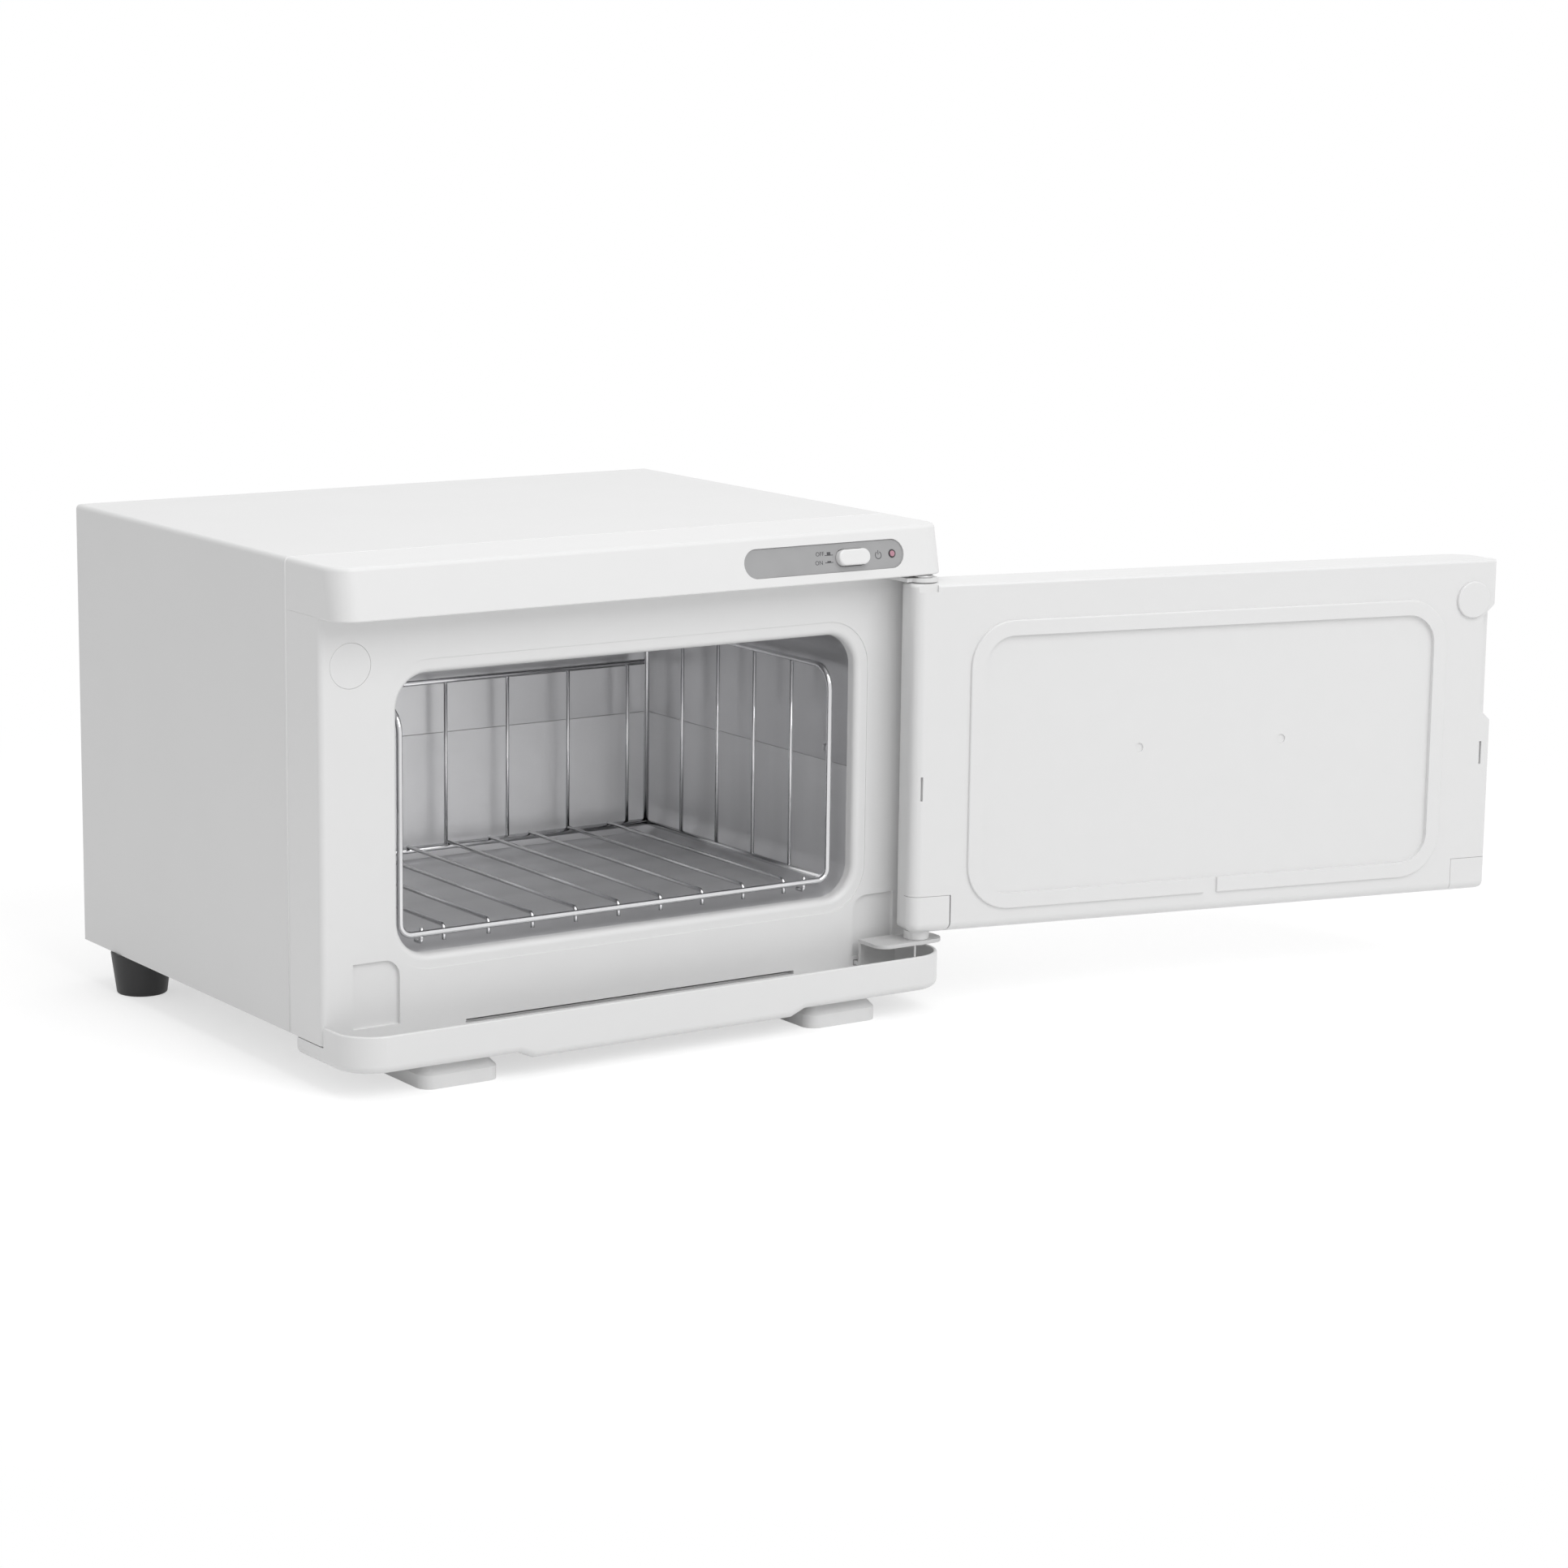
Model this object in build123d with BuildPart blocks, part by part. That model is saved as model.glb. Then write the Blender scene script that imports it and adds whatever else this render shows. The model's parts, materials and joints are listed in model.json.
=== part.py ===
"""Hot towel cabinet with a swing door, wire basket, drip tray and heated liner.

Millimetres. Origin: centre of the base plate's underside. +X to the hinge side,
+Y to the back, +Z up. The door is modelled closed and then turned to its open rest.
"""
from build123d import *
import math
import os

os.makedirs("parts", exist_ok=True)

# ---- cabinet casing ----
BODY_W = 350.0
BODY_H = 230.5
FACE_Y = -132.5
SEAM_Y = -99.5
BACK_Y = 132.5
FLOOR_Z = -22.0
SHEET = 1.0
BEND_R = 2.5
BASE_T = 1.2
BASE_LIP = 12.0
REAR_FLANGE = 12.0
PANEL_Y = BACK_Y - SHEET
HALF_W = BODY_W / 2

# ---- fasteners ----
SCREW_R = 1.45
SCREW_HOLE_R = 1.5
PANEL_HOLE_R = 1.75
HEAD_R = 3.0
HEAD_H = 1.6
SCREW_L = 9.0
REAR_SCREW_EDGE = 7.0
REAR_SCREW_CORNER = 24.0
REAR_TOP_SCREW_X = 60.0
REAR_LOW_SCREW_IN = 25.0

# ---- front frame ----
FASCIA_H = 25.1
FASCIA_Z = BODY_H - FASCIA_H
FRAME_WALL = 2.5
FRAME_FLOOR = 2.0
FRAME_FACE_T = 3.0
FRAME_CORNER_R = 3.0
FRAME_SIDE = 42.0
FRAME_HEAD = 30.4
OPEN_HALF = HALF_W - FRAME_SIDE
OPEN_LOW = 38.0
OPEN_HIGH = FASCIA_Z - FRAME_HEAD
OPEN_R = 17.0
LIP_W = 7.0
LIP_R = 3.5
LIP_STEP = 0.5
COLLAR_EXTRA = 10.0
COLLAR_R = OPEN_R + COLLAR_EXTRA
COLLAR_L = 7.5
LINER_FRONT_Y = FACE_Y + COLLAR_L
POCKET_IN = 16.7
POCKET_W = 25.4
POCKET_LOW = 6.0
POCKET_HIGH = 38.0
POCKET_DEEP = 2.0
POCKET_R = 8.5
POCKET_X = HALF_W - POCKET_IN - POCKET_W / 2
DRAIN_L = 193.0
DRAIN_H = 2.0
DRAIN_UP = 1.4
TAB_W = 3.0
TAB_H = 14.0
TAB_L = 15.0
TAB_EDGE = 30.0
TAB_ZS = (TAB_EDGE, FASCIA_Z - TAB_EDGE / 2)

# ---- magnet catch ----
MAGNET_IN = 16.5
MAGNET_DOWN = 23.5
MAGNET_X = MAGNET_IN - HALF_W
MAGNET_Z = FASCIA_Z - MAGNET_DOWN
COVER_HOLE_R = 11.0
COVER_GAP = 0.1
COVER_R = COVER_HOLE_R - COVER_GAP
COVER_T = 1.5
MAGNET_R = 8.0
MAGNET_T = 5.5

# ---- fascia and controls ----
FASCIA_LOW_Y = -153.0
FASCIA_TOP_Y = -147.52
FASCIA_CORNER_R = 12.0
FASCIA_WALL = 2.5
FASCIA_LIP_R = 0.8
PLATE_IN = 75.25
PLATE_UP = 12.2
PLATE_X = HALF_W - PLATE_IN
PLATE_Z = FASCIA_Z + PLATE_UP
PLATE_L = 96.9
PLATE_W = 14.8
PLATE_T = 0.8
PLATE_SUNK = 0.8
PLATE_GAP = 0.1
LED_IN = 6.7
LED_X = PLATE_L / 2 - LED_IN
BUTTON_OFF = 25.0
BUTTON_X = LED_X - BUTTON_OFF
BUTTON_UP = -0.3
BUTTON_L = 19.0
BUTTON_W = 8.1
BUTTON_OUT = 2.7
BUTTON_GAP = 0.3
BUTTON_EDGE_R = 1.0
BUTTON_FLANGE = 1.8
FLANGE_IN = 2.8
FLANGE_T = 1.5
STEM_R = 2.5
STEM_END = 12.0
SWITCH_L = 12.0
SWITCH_W = 9.0
SWITCH_FRONT = 9.0
SWITCH_BORE_R = 2.8
SWITCH_BORE_END = 17.0
BOARD_IN = 22.0
BOARD_T = 1.6
BOARD_OFF = 19.75
BOARD_X = LED_X - BOARD_OFF
BOARD_L = 64.0
BOARD_W = 9.0
BOSS_PITCH = 58.0
BOSS_XS = (BOARD_X - BOSS_PITCH / 2, BOARD_X + BOSS_PITCH / 2)
BOSS_R = 3.0
LED_R = 1.5
LED_OUT = 0.5
BEZEL_R = 2.1
CHIP = 3.0
CHIP_T = 1.6
BOARD_SCREW_L = 6.0

# ---- chamber liner, heater and insulation ----
LINER_STEP = 0.5
LINER_HALF = OPEN_HALF + LINER_STEP
LINER_LOW = OPEN_LOW - LINER_STEP
LINER_HIGH = OPEN_HIGH + LINER_STEP
LINER_R = OPEN_R
LINER_T = 0.8
LINER_BACK = 65.5
LINER_SEAM_UP = 67.5
LINER_SEAM = LINER_LOW + LINER_SEAM_UP
LINER_FLANGE = 8.0
WOOL_T = 13.0
WOOL_FRONT_Y = LINER_FRONT_Y + 2.0
HEATER_EDGE = 38.5
HEATER_HALF = LINER_HALF - HEATER_EDGE
HEATER_LOW = 66.0
HEATER_HIGH = LINER_HIGH - HEATER_EDGE / 2
HEATER_T = 2.0
STAT_X = 0.0
STAT_Z = 53.0
STAT_R = 8.0
STAT_L = 10.0
FUSE_X = 26.0
FUSE_R = 2.0
FUSE_L = 14.0
WINDOW_GAP = 2.0

# ---- mains inlet and terminal block ----
INLET_IN = 55.0
INLET_X = INLET_IN - HALF_W
INLET_Z = 40.0
INLET_W = 27.2
INLET_H = 19.6
INLET_D = 24.0
INLET_FLANGE_W = 50.0
INLET_FLANGE_H = 22.6
INLET_FLANGE_T = 3.0
INLET_PITCH = 40.0
SOCKET_W = 24.6
SOCKET_H = 16.6
SOCKET_D = 20.0
PIN_W = 2.0
PIN_H = 4.0
PIN_L = 16.0
PIN_DX = 7.0
PIN_DZ = 4.0
CUT_GAP = 0.3
BLOCK_OFF = 60.0
BLOCK_X = INLET_X + BLOCK_OFF
BLOCK_IN = 23.5
BLOCK_Y = PANEL_Y - BLOCK_IN
BLOCK_L = 42.0
BLOCK_W = 18.0
BLOCK_H = 15.0
LEAD_R = 1.2
LEAD_PITCH = 6.0
LEAD_RUN = 12.0

# ---- wire basket ----
BASKET_GAP = 8.0
BASKET_HALF = LINER_HALF - BASKET_GAP
BASKET_FRONT_GAP = 5.3
BASKET_FRONT_Y = LINER_FRONT_Y + BASKET_FRONT_GAP
BASKET_BACK_GAP = 9.5
BASKET_BACK_Y = LINER_BACK - BASKET_BACK_GAP
BASKET_LOW = LINER_LOW + BASKET_GAP
BASKET_SIDE_DOWN = 18.5
BASKET_SIDE_TOP = OPEN_HIGH - BASKET_SIDE_DOWN
BASKET_BACK_DOWN = 40.3
BASKET_BACK_TOP = OPEN_HIGH - BASKET_BACK_DOWN
BASKET_FOOT_UP = 3.5
BASKET_FOOT = LINER_LOW + BASKET_FOOT_UP
FRAME_WIRE_R = 1.5
SIDE_END_Y = BASKET_BACK_Y - FRAME_WIRE_R
WIRE_R = 1.0
SIDE_POST_YS = (BASKET_FRONT_Y + FRAME_WIRE_R, SIDE_END_Y - FRAME_WIRE_R)
SIDE_PITCH = 34.6
SIDE_WIRE_COUNT = 4
SIDE_WIRE_YS = [BASKET_FRONT_Y + SIDE_PITCH * (i + 1) for i in range(SIDE_WIRE_COUNT)]
BACK_EDGE = 11.5
BACK_SIDE_WIRES = 3
BACK_PITCH = (BASKET_HALF - BACK_EDGE) / BACK_SIDE_WIRES
BACK_WIRE_XS = [BACK_PITCH * i for i in range(-BACK_SIDE_WIRES, BACK_SIDE_WIRES + 1)]
FLOOR_EDGE = 25.5
FLOOR_SIDE_WIRES = 4
FLOOR_PITCH = (BASKET_HALF - FLOOR_EDGE) / FLOOR_SIDE_WIRES
FLOOR_WIRE_XS = [FLOOR_PITCH * i for i in range(-FLOOR_SIDE_WIRES, FLOOR_SIDE_WIRES + 1)]
FLOOR_FRONT_Y = BASKET_FRONT_Y + FRAME_WIRE_R

# ---- door (closed pose) ----
DOOR_FAR_IN = 5.2
DOOR_NEAR_IN = 3.3
DOOR_FAR_X = DOOR_FAR_IN - HALF_W
DOOR_NEAR_X = HALF_W - DOOR_NEAR_IN
DOOR_LOW = 20.9
DOOR_TOP_GAP = 3.9
DOOR_HIGH = FASCIA_Z - DOOR_TOP_GAP
DOOR_GAP = 3.7
DOOR_IN_Y = FACE_Y - DOOR_GAP
DOOR_T = 30.0
DOOR_CORNER_R = 18.0
DOOR_NEAR_R = 6.5
DOOR_WALL = 2.5
DOOR_FACE_T = 3.0
DOOR_SPLIT = 7.5
DOOR_EDGE_R = 2.5
DOOR_INNER_R = 1.5
DOOR_FOOT_R = 5.0
HINGE_IN = 13.2
HINGE_DEEP = 12.9
HINGE_X = HALF_W - HINGE_IN
HINGE_Y = DOOR_IN_Y - HINGE_DEEP
DOOR_OPEN = 167.8
RIM_OUT = 6.9
RIM_HALF = OPEN_HALF + RIM_OUT
RIM_LOW = OPEN_LOW - RIM_OUT
RIM_HIGH = OPEN_HIGH + RIM_OUT
RIM_R = OPEN_R + RIM_OUT
RIM_W = 8.0
RIM_H = 1.4
RIM_BREAK_X = -1.5
RIM_BREAK_W = 8.0
PANEL_SUNK = 1.2
DIMPLE_X = 42.0
DIMPLE_Z = 111.0
DIMPLE_R = 2.5
DIMPLE_DEEP = 0.8
SLOT_IN = 5.6
NEAR_SLOT_X = DOOR_NEAR_X - SLOT_IN
FAR_SLOT_X = DOOR_FAR_X + SLOT_IN
SLOT_Z = 96.6
SLOT_L = 12.5
SLOT_W = 1.3
SLOT_DEEP = 2.4
KEEPER_IN = 14.3
KEEPER_DOWN = 21.0
KEEPER_X = DOOR_FAR_X + KEEPER_IN
KEEPER_Z = DOOR_HIGH - KEEPER_DOWN
KEEPER_CAP_R = 9.8
KEEPER_CAP_T = 1.8
KEEPER_R = 8.0
KEEPER_T = 1.5
KEEPER_GAP = 0.1
GRIP_DOWN = 23.5
GRIP_L = 64.0
GRIP_HIGH = DOOR_HIGH - GRIP_DOWN
GRIP_LOW = GRIP_HIGH - GRIP_L
GRIP_DEEP = 7.2
GRIP_END = 6.7
GRIP_SHELF_T = 2.5
GRIP_SHELF_IN = 9.0
NOTCH_W = 13.0
NOTCH_H = 3.6
NOTCH_DEEP = 1.2
NOTCH_X = DOOR_NEAR_X - NOTCH_W
NOTCH_Z = DOOR_HIGH - NOTCH_H
COVER_FAR_W = 21.0
COVER_FAR_H = 18.1
COVER_NEAR_W = 23.2
COVER_NEAR_H = 19.4
COVER_NEAR_SLOT = 0.7
COVER_FAR_X = DOOR_FAR_X + COVER_FAR_W
COVER_FAR_Z = DOOR_LOW + COVER_FAR_H
COVER_NEAR_X = DOOR_NEAR_X - COVER_NEAR_W
COVER_NEAR_Z = DOOR_LOW + COVER_NEAR_H
CORNER_COVER_T = 2.0
CORNER_COVER_GAP = 0.2
CORNER_COVER_R = 6.0
BOSS_HALF = 10.0
HINGE_BOSS_H = 15.0
LOW_BOSS_TOP = DOOR_LOW + HINGE_BOSS_H
HIGH_BOSS_LOW = DOOR_HIGH - HINGE_BOSS_H
CORE_FAR_IN = 11.0
CORE_NEAR_IN = 25.0
CORE_OUT_IN = 3.1
CORE_IN_IN = 3.4
CORE_END_IN = 4.1
CORE_FAR_X = DOOR_FAR_X + CORE_FAR_IN
CORE_NEAR_X = DOOR_NEAR_X - CORE_NEAR_IN
CORE_OUT_Y = DOOR_IN_Y - DOOR_T + CORE_OUT_IN
CORE_IN_Y = DOOR_IN_Y - CORE_IN_IN
CORE_LOW = DOOR_LOW + CORE_END_IN
CORE_HIGH = DOOR_HIGH - CORE_END_IN
CORE_R = 18.0

# ---- hinge ----
PIN_R = 3.0
PIN_PLAY = 0.05
BUSH_R = 4.5
BUSH_L = 9.0
BRACKET_TIP_R = 13.5
BRACKET_T = 2.0
BRACKET_IN = 41.0
BRACKET_X = HALF_W - BRACKET_IN
BRACKET_TOP = 16.0
BRACKET_FOOT_Z = 2.0
BRACKET_FRONT = 7.7
BRACKET_CORNER_R = 7.5
BRACKET_WALL_Y = -138.5
BRACKET_FOOT_BACK = -112.0
BRACKET_FOOT_W = 22.0
SLOT_CLEAR = 0.3
WASHER_R = 6.6
PIN_HEAD_R = 5.0
PIN_HEAD_T = 1.2
TOP_BRACKET_DOWN = 3.4
TOP_BRACKET_LOW = FASCIA_Z - TOP_BRACKET_DOWN
TOP_BRACKET_BACK = -134.0
TOP_PLATE_FRONT = -150.0
TOP_TIP_R = 7.5
TOP_PAD_FRONT = -143.5
TOP_PLATE_IN = 24.0
TOP_PLATE_X = HALF_W - TOP_PLATE_IN
TOP_PLATE_W = HINGE_X + TOP_TIP_R - TOP_PLATE_X
BRACKET_SCREW_IN = 6.0
BRACKET_SCREW_PITCH = 10.0
BRACKET_SCREW_XS = (BRACKET_X + BRACKET_SCREW_IN, BRACKET_X + BRACKET_SCREW_IN + BRACKET_SCREW_PITCH)
BRACKET_SCREW_Y = -120.0
TOP_SCREW_IN = 4.7
TOP_SCREW_XS = (TOP_PLATE_X + TOP_SCREW_IN, TOP_PLATE_X + TOP_SCREW_IN + BRACKET_SCREW_PITCH)
TOP_SCREW_Y = -139.0

# ---- drip tray ----
TRAY_FRONT_Y = -163.0
TRAY_BACK_Y = -107.0
TRAY_CORNER_R = 20.0
TRAY_WALL = 2.0
TRAY_TOP = 9.5
TRAY_SIDE_LOW = -9.0
TRAY_WELL_LOW = -12.5
TRAY_WELL_IN = 99.5
TRAY_SLOPE_L = 8.5
TRAY_WELL_HALF = HALF_W - TRAY_WELL_IN
TRAY_SLOPE_HALF = TRAY_WELL_HALF + TRAY_SLOPE_L
TRAY_STEP_Y = FACE_Y - SHEET
TRAY_REAR_TOP = -0.5
TRAY_EDGE_R = 0.8
TRAY_FOOT_R = 4.0

# ---- feet ----
FRONT_FOOT_IN = 63.0
FRONT_FOOT_X = HALF_W - FRONT_FOOT_IN
FRONT_FOOT_W = 43.0
FRONT_PAD_FRONT = -156.0
FRONT_PAD_TOP = TRAY_SIDE_LOW - SLOT_CLEAR
FOOT_CHAMFER = 6.0
STALK_W = FRONT_FOOT_W - 2 * FOOT_CHAMFER
STALK_FRONT = -104.5
STALK_BACK = -82.0
FRONT_SCREW_Y = -93.0
FOOT_CORNER_R = 7.0
REAR_FOOT_IN = 14.0
REAR_FOOT_X = HALF_W - REAR_FOOT_IN
REAR_FOOT_Y = 93.5
REAR_FOOT_LOW_R = 13.0
REAR_FOOT_TOP_R = 16.0
FOOT_SCREW_R = 1.7
FOOT_HOLE_R = 1.75
FOOT_SCREW_L = 12.0

HINGE_AXIS = Axis((HINGE_X, HINGE_Y, 0), (0, 0, 1))

# Plane of the sloping fascia front, centred on the control plate, facing out.
FASCIA_SLOPE = (FASCIA_TOP_Y - FASCIA_LOW_Y) / FASCIA_H
FASCIA_TILT = math.atan(FASCIA_SLOPE)
PLATE_Y = FASCIA_LOW_Y + PLATE_UP * FASCIA_SLOPE
FASCIA_NORMAL = (0, -math.cos(FASCIA_TILT), math.sin(FASCIA_TILT))
CONTROLS = Plane(origin=(PLATE_X, PLATE_Y, PLATE_Z), x_dir=(1, 0, 0), z_dir=FASCIA_NORMAL)

SIDE_SCREW_X = HALF_W - REAR_SCREW_EDGE
SIDE_SCREW_ZS = (REAR_SCREW_CORNER, BODY_H / 2, BODY_H - REAR_SCREW_CORNER)
WRAP_SCREWS = [(x, z) for x in (-SIDE_SCREW_X, SIDE_SCREW_X) for z in SIDE_SCREW_ZS]
WRAP_SCREWS += [(x, BODY_H - REAR_SCREW_EDGE) for x in (-REAR_TOP_SCREW_X, REAR_TOP_SCREW_X)]
BASE_SCREWS = [(x, REAR_SCREW_EDGE) for x in (REAR_LOW_SCREW_IN - HALF_W, HALF_W - REAR_LOW_SCREW_IN)]
REAR_SCREWS = WRAP_SCREWS + BASE_SCREWS
INLET_SCREWS = [(INLET_X - INLET_PITCH / 2, INLET_Z), (INLET_X + INLET_PITCH / 2, INLET_Z)]
FOOT_SCREWS = [(-FRONT_FOOT_X, FRONT_SCREW_Y), (FRONT_FOOT_X, FRONT_SCREW_Y)]
FOOT_SCREWS += [(-REAR_FOOT_X, REAR_FOOT_Y), (REAR_FOOT_X, REAR_FOOT_Y)]

# ================= casing =================

# Folded steel wrap: both sides and the top, with a flange turned in at the rear.
with BuildPart() as body_wrap:
    with BuildSketch(Plane.XZ.offset(-SEAM_Y)):
        with Locations((0, BODY_H / 2)):
            Rectangle(BODY_W, BODY_H)
        fillet(vertices().group_by(Axis.Y)[-1], BEND_R)
    extrude(amount=SEAM_Y - PANEL_Y)
    with BuildSketch(Plane.XZ.offset(-SEAM_Y)):
        with Locations((0, (BODY_H - SHEET) / 2)):
            Rectangle(BODY_W - 2 * SHEET, BODY_H - SHEET)
        fillet(vertices().group_by(Axis.Y)[-1], BEND_R - SHEET)
    extrude(amount=SEAM_Y - PANEL_Y + SHEET, mode=Mode.SUBTRACT)
    with BuildSketch(Plane.XZ.offset(-SEAM_Y)):
        with Locations((0, (BODY_H - REAR_FLANGE) / 2)):
            Rectangle(BODY_W - 2 * REAR_FLANGE, BODY_H - REAR_FLANGE)
    extrude(amount=SEAM_Y - PANEL_Y, mode=Mode.SUBTRACT)
    with BuildSketch(Plane.XZ.offset(-PANEL_Y)):
        with Locations(*WRAP_SCREWS):
            Circle(SCREW_HOLE_R)
    extrude(amount=SHEET, mode=Mode.SUBTRACT)
body_wrap.part.label = "body_wrap"
export_step(body_wrap.part, "parts/body_wrap.step")

# Base plate: a shallow steel pan between the wrap's sides, lips turned up.
with BuildPart() as base_plate:
    with BuildSketch(Plane.XY):
        with Locations((0, (SEAM_Y + PANEL_Y) / 2)):
            Rectangle(BODY_W - 2 * SHEET, PANEL_Y - SEAM_Y)
    extrude(amount=BASE_LIP)
    with BuildSketch(Plane.XY.offset(BASE_T)):
        with Locations((0, (SEAM_Y + PANEL_Y) / 2 - BASE_T)):
            Rectangle(BODY_W - 2 * SHEET - 2 * BASE_T, PANEL_Y - SEAM_Y)
    extrude(amount=BASE_LIP, mode=Mode.SUBTRACT)
    with BuildSketch(Plane.XZ.offset(-PANEL_Y)):
        with Locations((-HALF_W, BASE_LIP / 2 + SHEET), (HALF_W, BASE_LIP / 2 + SHEET)):
            Rectangle(2 * REAR_FLANGE, 2 * BASE_LIP)
    extrude(amount=SHEET, mode=Mode.SUBTRACT)
    with BuildSketch(Plane.XZ.offset(-PANEL_Y)):
        with Locations(*BASE_SCREWS):
            Circle(SCREW_HOLE_R)
    extrude(amount=BASE_T, mode=Mode.SUBTRACT)
    with BuildSketch(Plane.XY):
        with Locations(*FOOT_SCREWS):
            Circle(PANEL_HOLE_R + CUT_GAP)
    extrude(amount=BASE_T, mode=Mode.SUBTRACT)
base_plate.part.label = "base_plate"
export_step(base_plate.part, "parts/base_plate.step")

# Rear panel: flat sheet over the wrap's flange, cut for the mains inlet.
with BuildPart() as back_panel:
    with BuildSketch(Plane.XZ.offset(-PANEL_Y)):
        with Locations((0, BODY_H / 2)):
            Rectangle(BODY_W, BODY_H)
        fillet(vertices().group_by(Axis.Y)[-1], BEND_R)
        with Locations(*REAR_SCREWS):
            Circle(PANEL_HOLE_R, mode=Mode.SUBTRACT)
        with Locations(*INLET_SCREWS):
            Circle(PANEL_HOLE_R, mode=Mode.SUBTRACT)
        with Locations((INLET_X, INLET_Z)):
            Rectangle(INLET_W + 2 * CUT_GAP, INLET_H + 2 * CUT_GAP, mode=Mode.SUBTRACT)
    extrude(amount=-SHEET)
back_panel.part.label = "back_panel"
export_step(back_panel.part, "parts/back_panel.step")

# Front frame: one plastic moulding with a rounded lip around the chamber opening.
with BuildPart() as front_frame:
    with BuildSketch(Plane.XY):
        with Locations((0, (FACE_Y + SEAM_Y) / 2)):
            Rectangle(BODY_W, SEAM_Y - FACE_Y)
        fillet(vertices().group_by(Axis.Y)[0], FRAME_CORNER_R)
    extrude(amount=FASCIA_Z)
    with BuildSketch(Plane.XZ.offset(-SEAM_Y)):
        with Locations((0, (FRAME_FLOOR + FASCIA_Z - FRAME_WALL) / 2)):
            Rectangle(BODY_W - 2 * FRAME_WALL, FASCIA_Z - FRAME_WALL - FRAME_FLOOR)
    extrude(amount=SEAM_Y - FACE_Y - FRAME_FACE_T, mode=Mode.SUBTRACT)
    with BuildSketch(Plane.XZ.offset(-FACE_Y - FRAME_FACE_T)):
        with Locations((0, (OPEN_LOW + OPEN_HIGH) / 2)):
            RectangleRounded(
                2 * (OPEN_HALF + COLLAR_EXTRA), OPEN_HIGH - OPEN_LOW + 2 * COLLAR_EXTRA, COLLAR_R
            )
        with Locations((MAGNET_X, MAGNET_Z)):
            Circle(COVER_HOLE_R)
    extrude(amount=FACE_Y + FRAME_FACE_T - LINER_FRONT_Y)
    with BuildSketch(Plane.XZ.offset(-FACE_Y)):
        with Locations((0, (OPEN_LOW + OPEN_HIGH) / 2)):
            RectangleRounded(2 * OPEN_HALF, OPEN_HIGH - OPEN_LOW, OPEN_R)
    extrude(amount=FACE_Y - SEAM_Y, mode=Mode.SUBTRACT)
    with BuildSketch(Plane.XZ.offset(-FACE_Y)):
        with Locations((0, (OPEN_LOW + OPEN_HIGH) / 2)):
            RectangleRounded(2 * (OPEN_HALF + LIP_W), OPEN_HIGH - OPEN_LOW + 2 * LIP_W, OPEN_R + LIP_W)
    extrude(amount=-LIP_STEP, mode=Mode.SUBTRACT)
    step_faces = faces().filter_by(Axis.Y).filter_by(lambda f: 0 < f.center().Y - FACE_Y < 2 * LIP_STEP)
    fillet(step_faces[0].inner_wires()[0].edges(), LIP_R)
    with BuildSketch(Plane.XZ.offset(-FACE_Y)):
        with Locations((MAGNET_X, MAGNET_Z)):
            Circle(COVER_HOLE_R)
    extrude(amount=-COVER_T, mode=Mode.SUBTRACT)
    with BuildSketch(Plane.XZ.offset(-FACE_Y - COVER_T)):
        with Locations((MAGNET_X, MAGNET_Z)):
            Circle(MAGNET_R + PIN_PLAY)
    extrude(amount=-MAGNET_T, mode=Mode.SUBTRACT)
    with BuildSketch(Plane.XZ.offset(-FACE_Y)):
        with Locations(*[(x, (POCKET_LOW + POCKET_HIGH) / 2) for x in (-POCKET_X, POCKET_X)]):
            Rectangle(POCKET_W, POCKET_HIGH - POCKET_LOW)
        inner_tops = vertices().group_by(Axis.Y)[-1].sort_by(Axis.X)[1:3]
        fillet(inner_tops, POCKET_R)
    extrude(amount=-POCKET_DEEP, mode=Mode.SUBTRACT)
    with BuildSketch(Plane.XZ.offset(-FACE_Y)):
        with Locations((BRACKET_X + BRACKET_FOOT_W / 2, BRACKET_FOOT_Z + BRACKET_T / 2)):
            Rectangle(BRACKET_FOOT_W + 2 * SLOT_CLEAR, BRACKET_T + 2 * SLOT_CLEAR)
        with Locations((0, DRAIN_UP + DRAIN_H / 2)):
            Rectangle(DRAIN_L, DRAIN_H)
    extrude(amount=-FRAME_FACE_T, mode=Mode.SUBTRACT)
    with BuildSketch(Plane.XY.offset(FRAME_FLOOR)):
        with Locations(*[(x, BRACKET_SCREW_Y) for x in BRACKET_SCREW_XS]):
            Circle(SCREW_HOLE_R)
    extrude(amount=-FRAME_FLOOR, mode=Mode.SUBTRACT)
    for side in (-1, 1):
        for tab_z in TAB_ZS:
            with BuildSketch(Plane.XZ.offset(-SEAM_Y - TAB_L)):
                with Locations((side * (HALF_W - SHEET - TAB_W / 2), tab_z)):
                    Rectangle(TAB_W, TAB_H)
            extrude(amount=TAB_L + TAB_W)
front_frame.part.label = "front_frame"
export_step(front_frame.part, "parts/front_frame.step")

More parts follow.
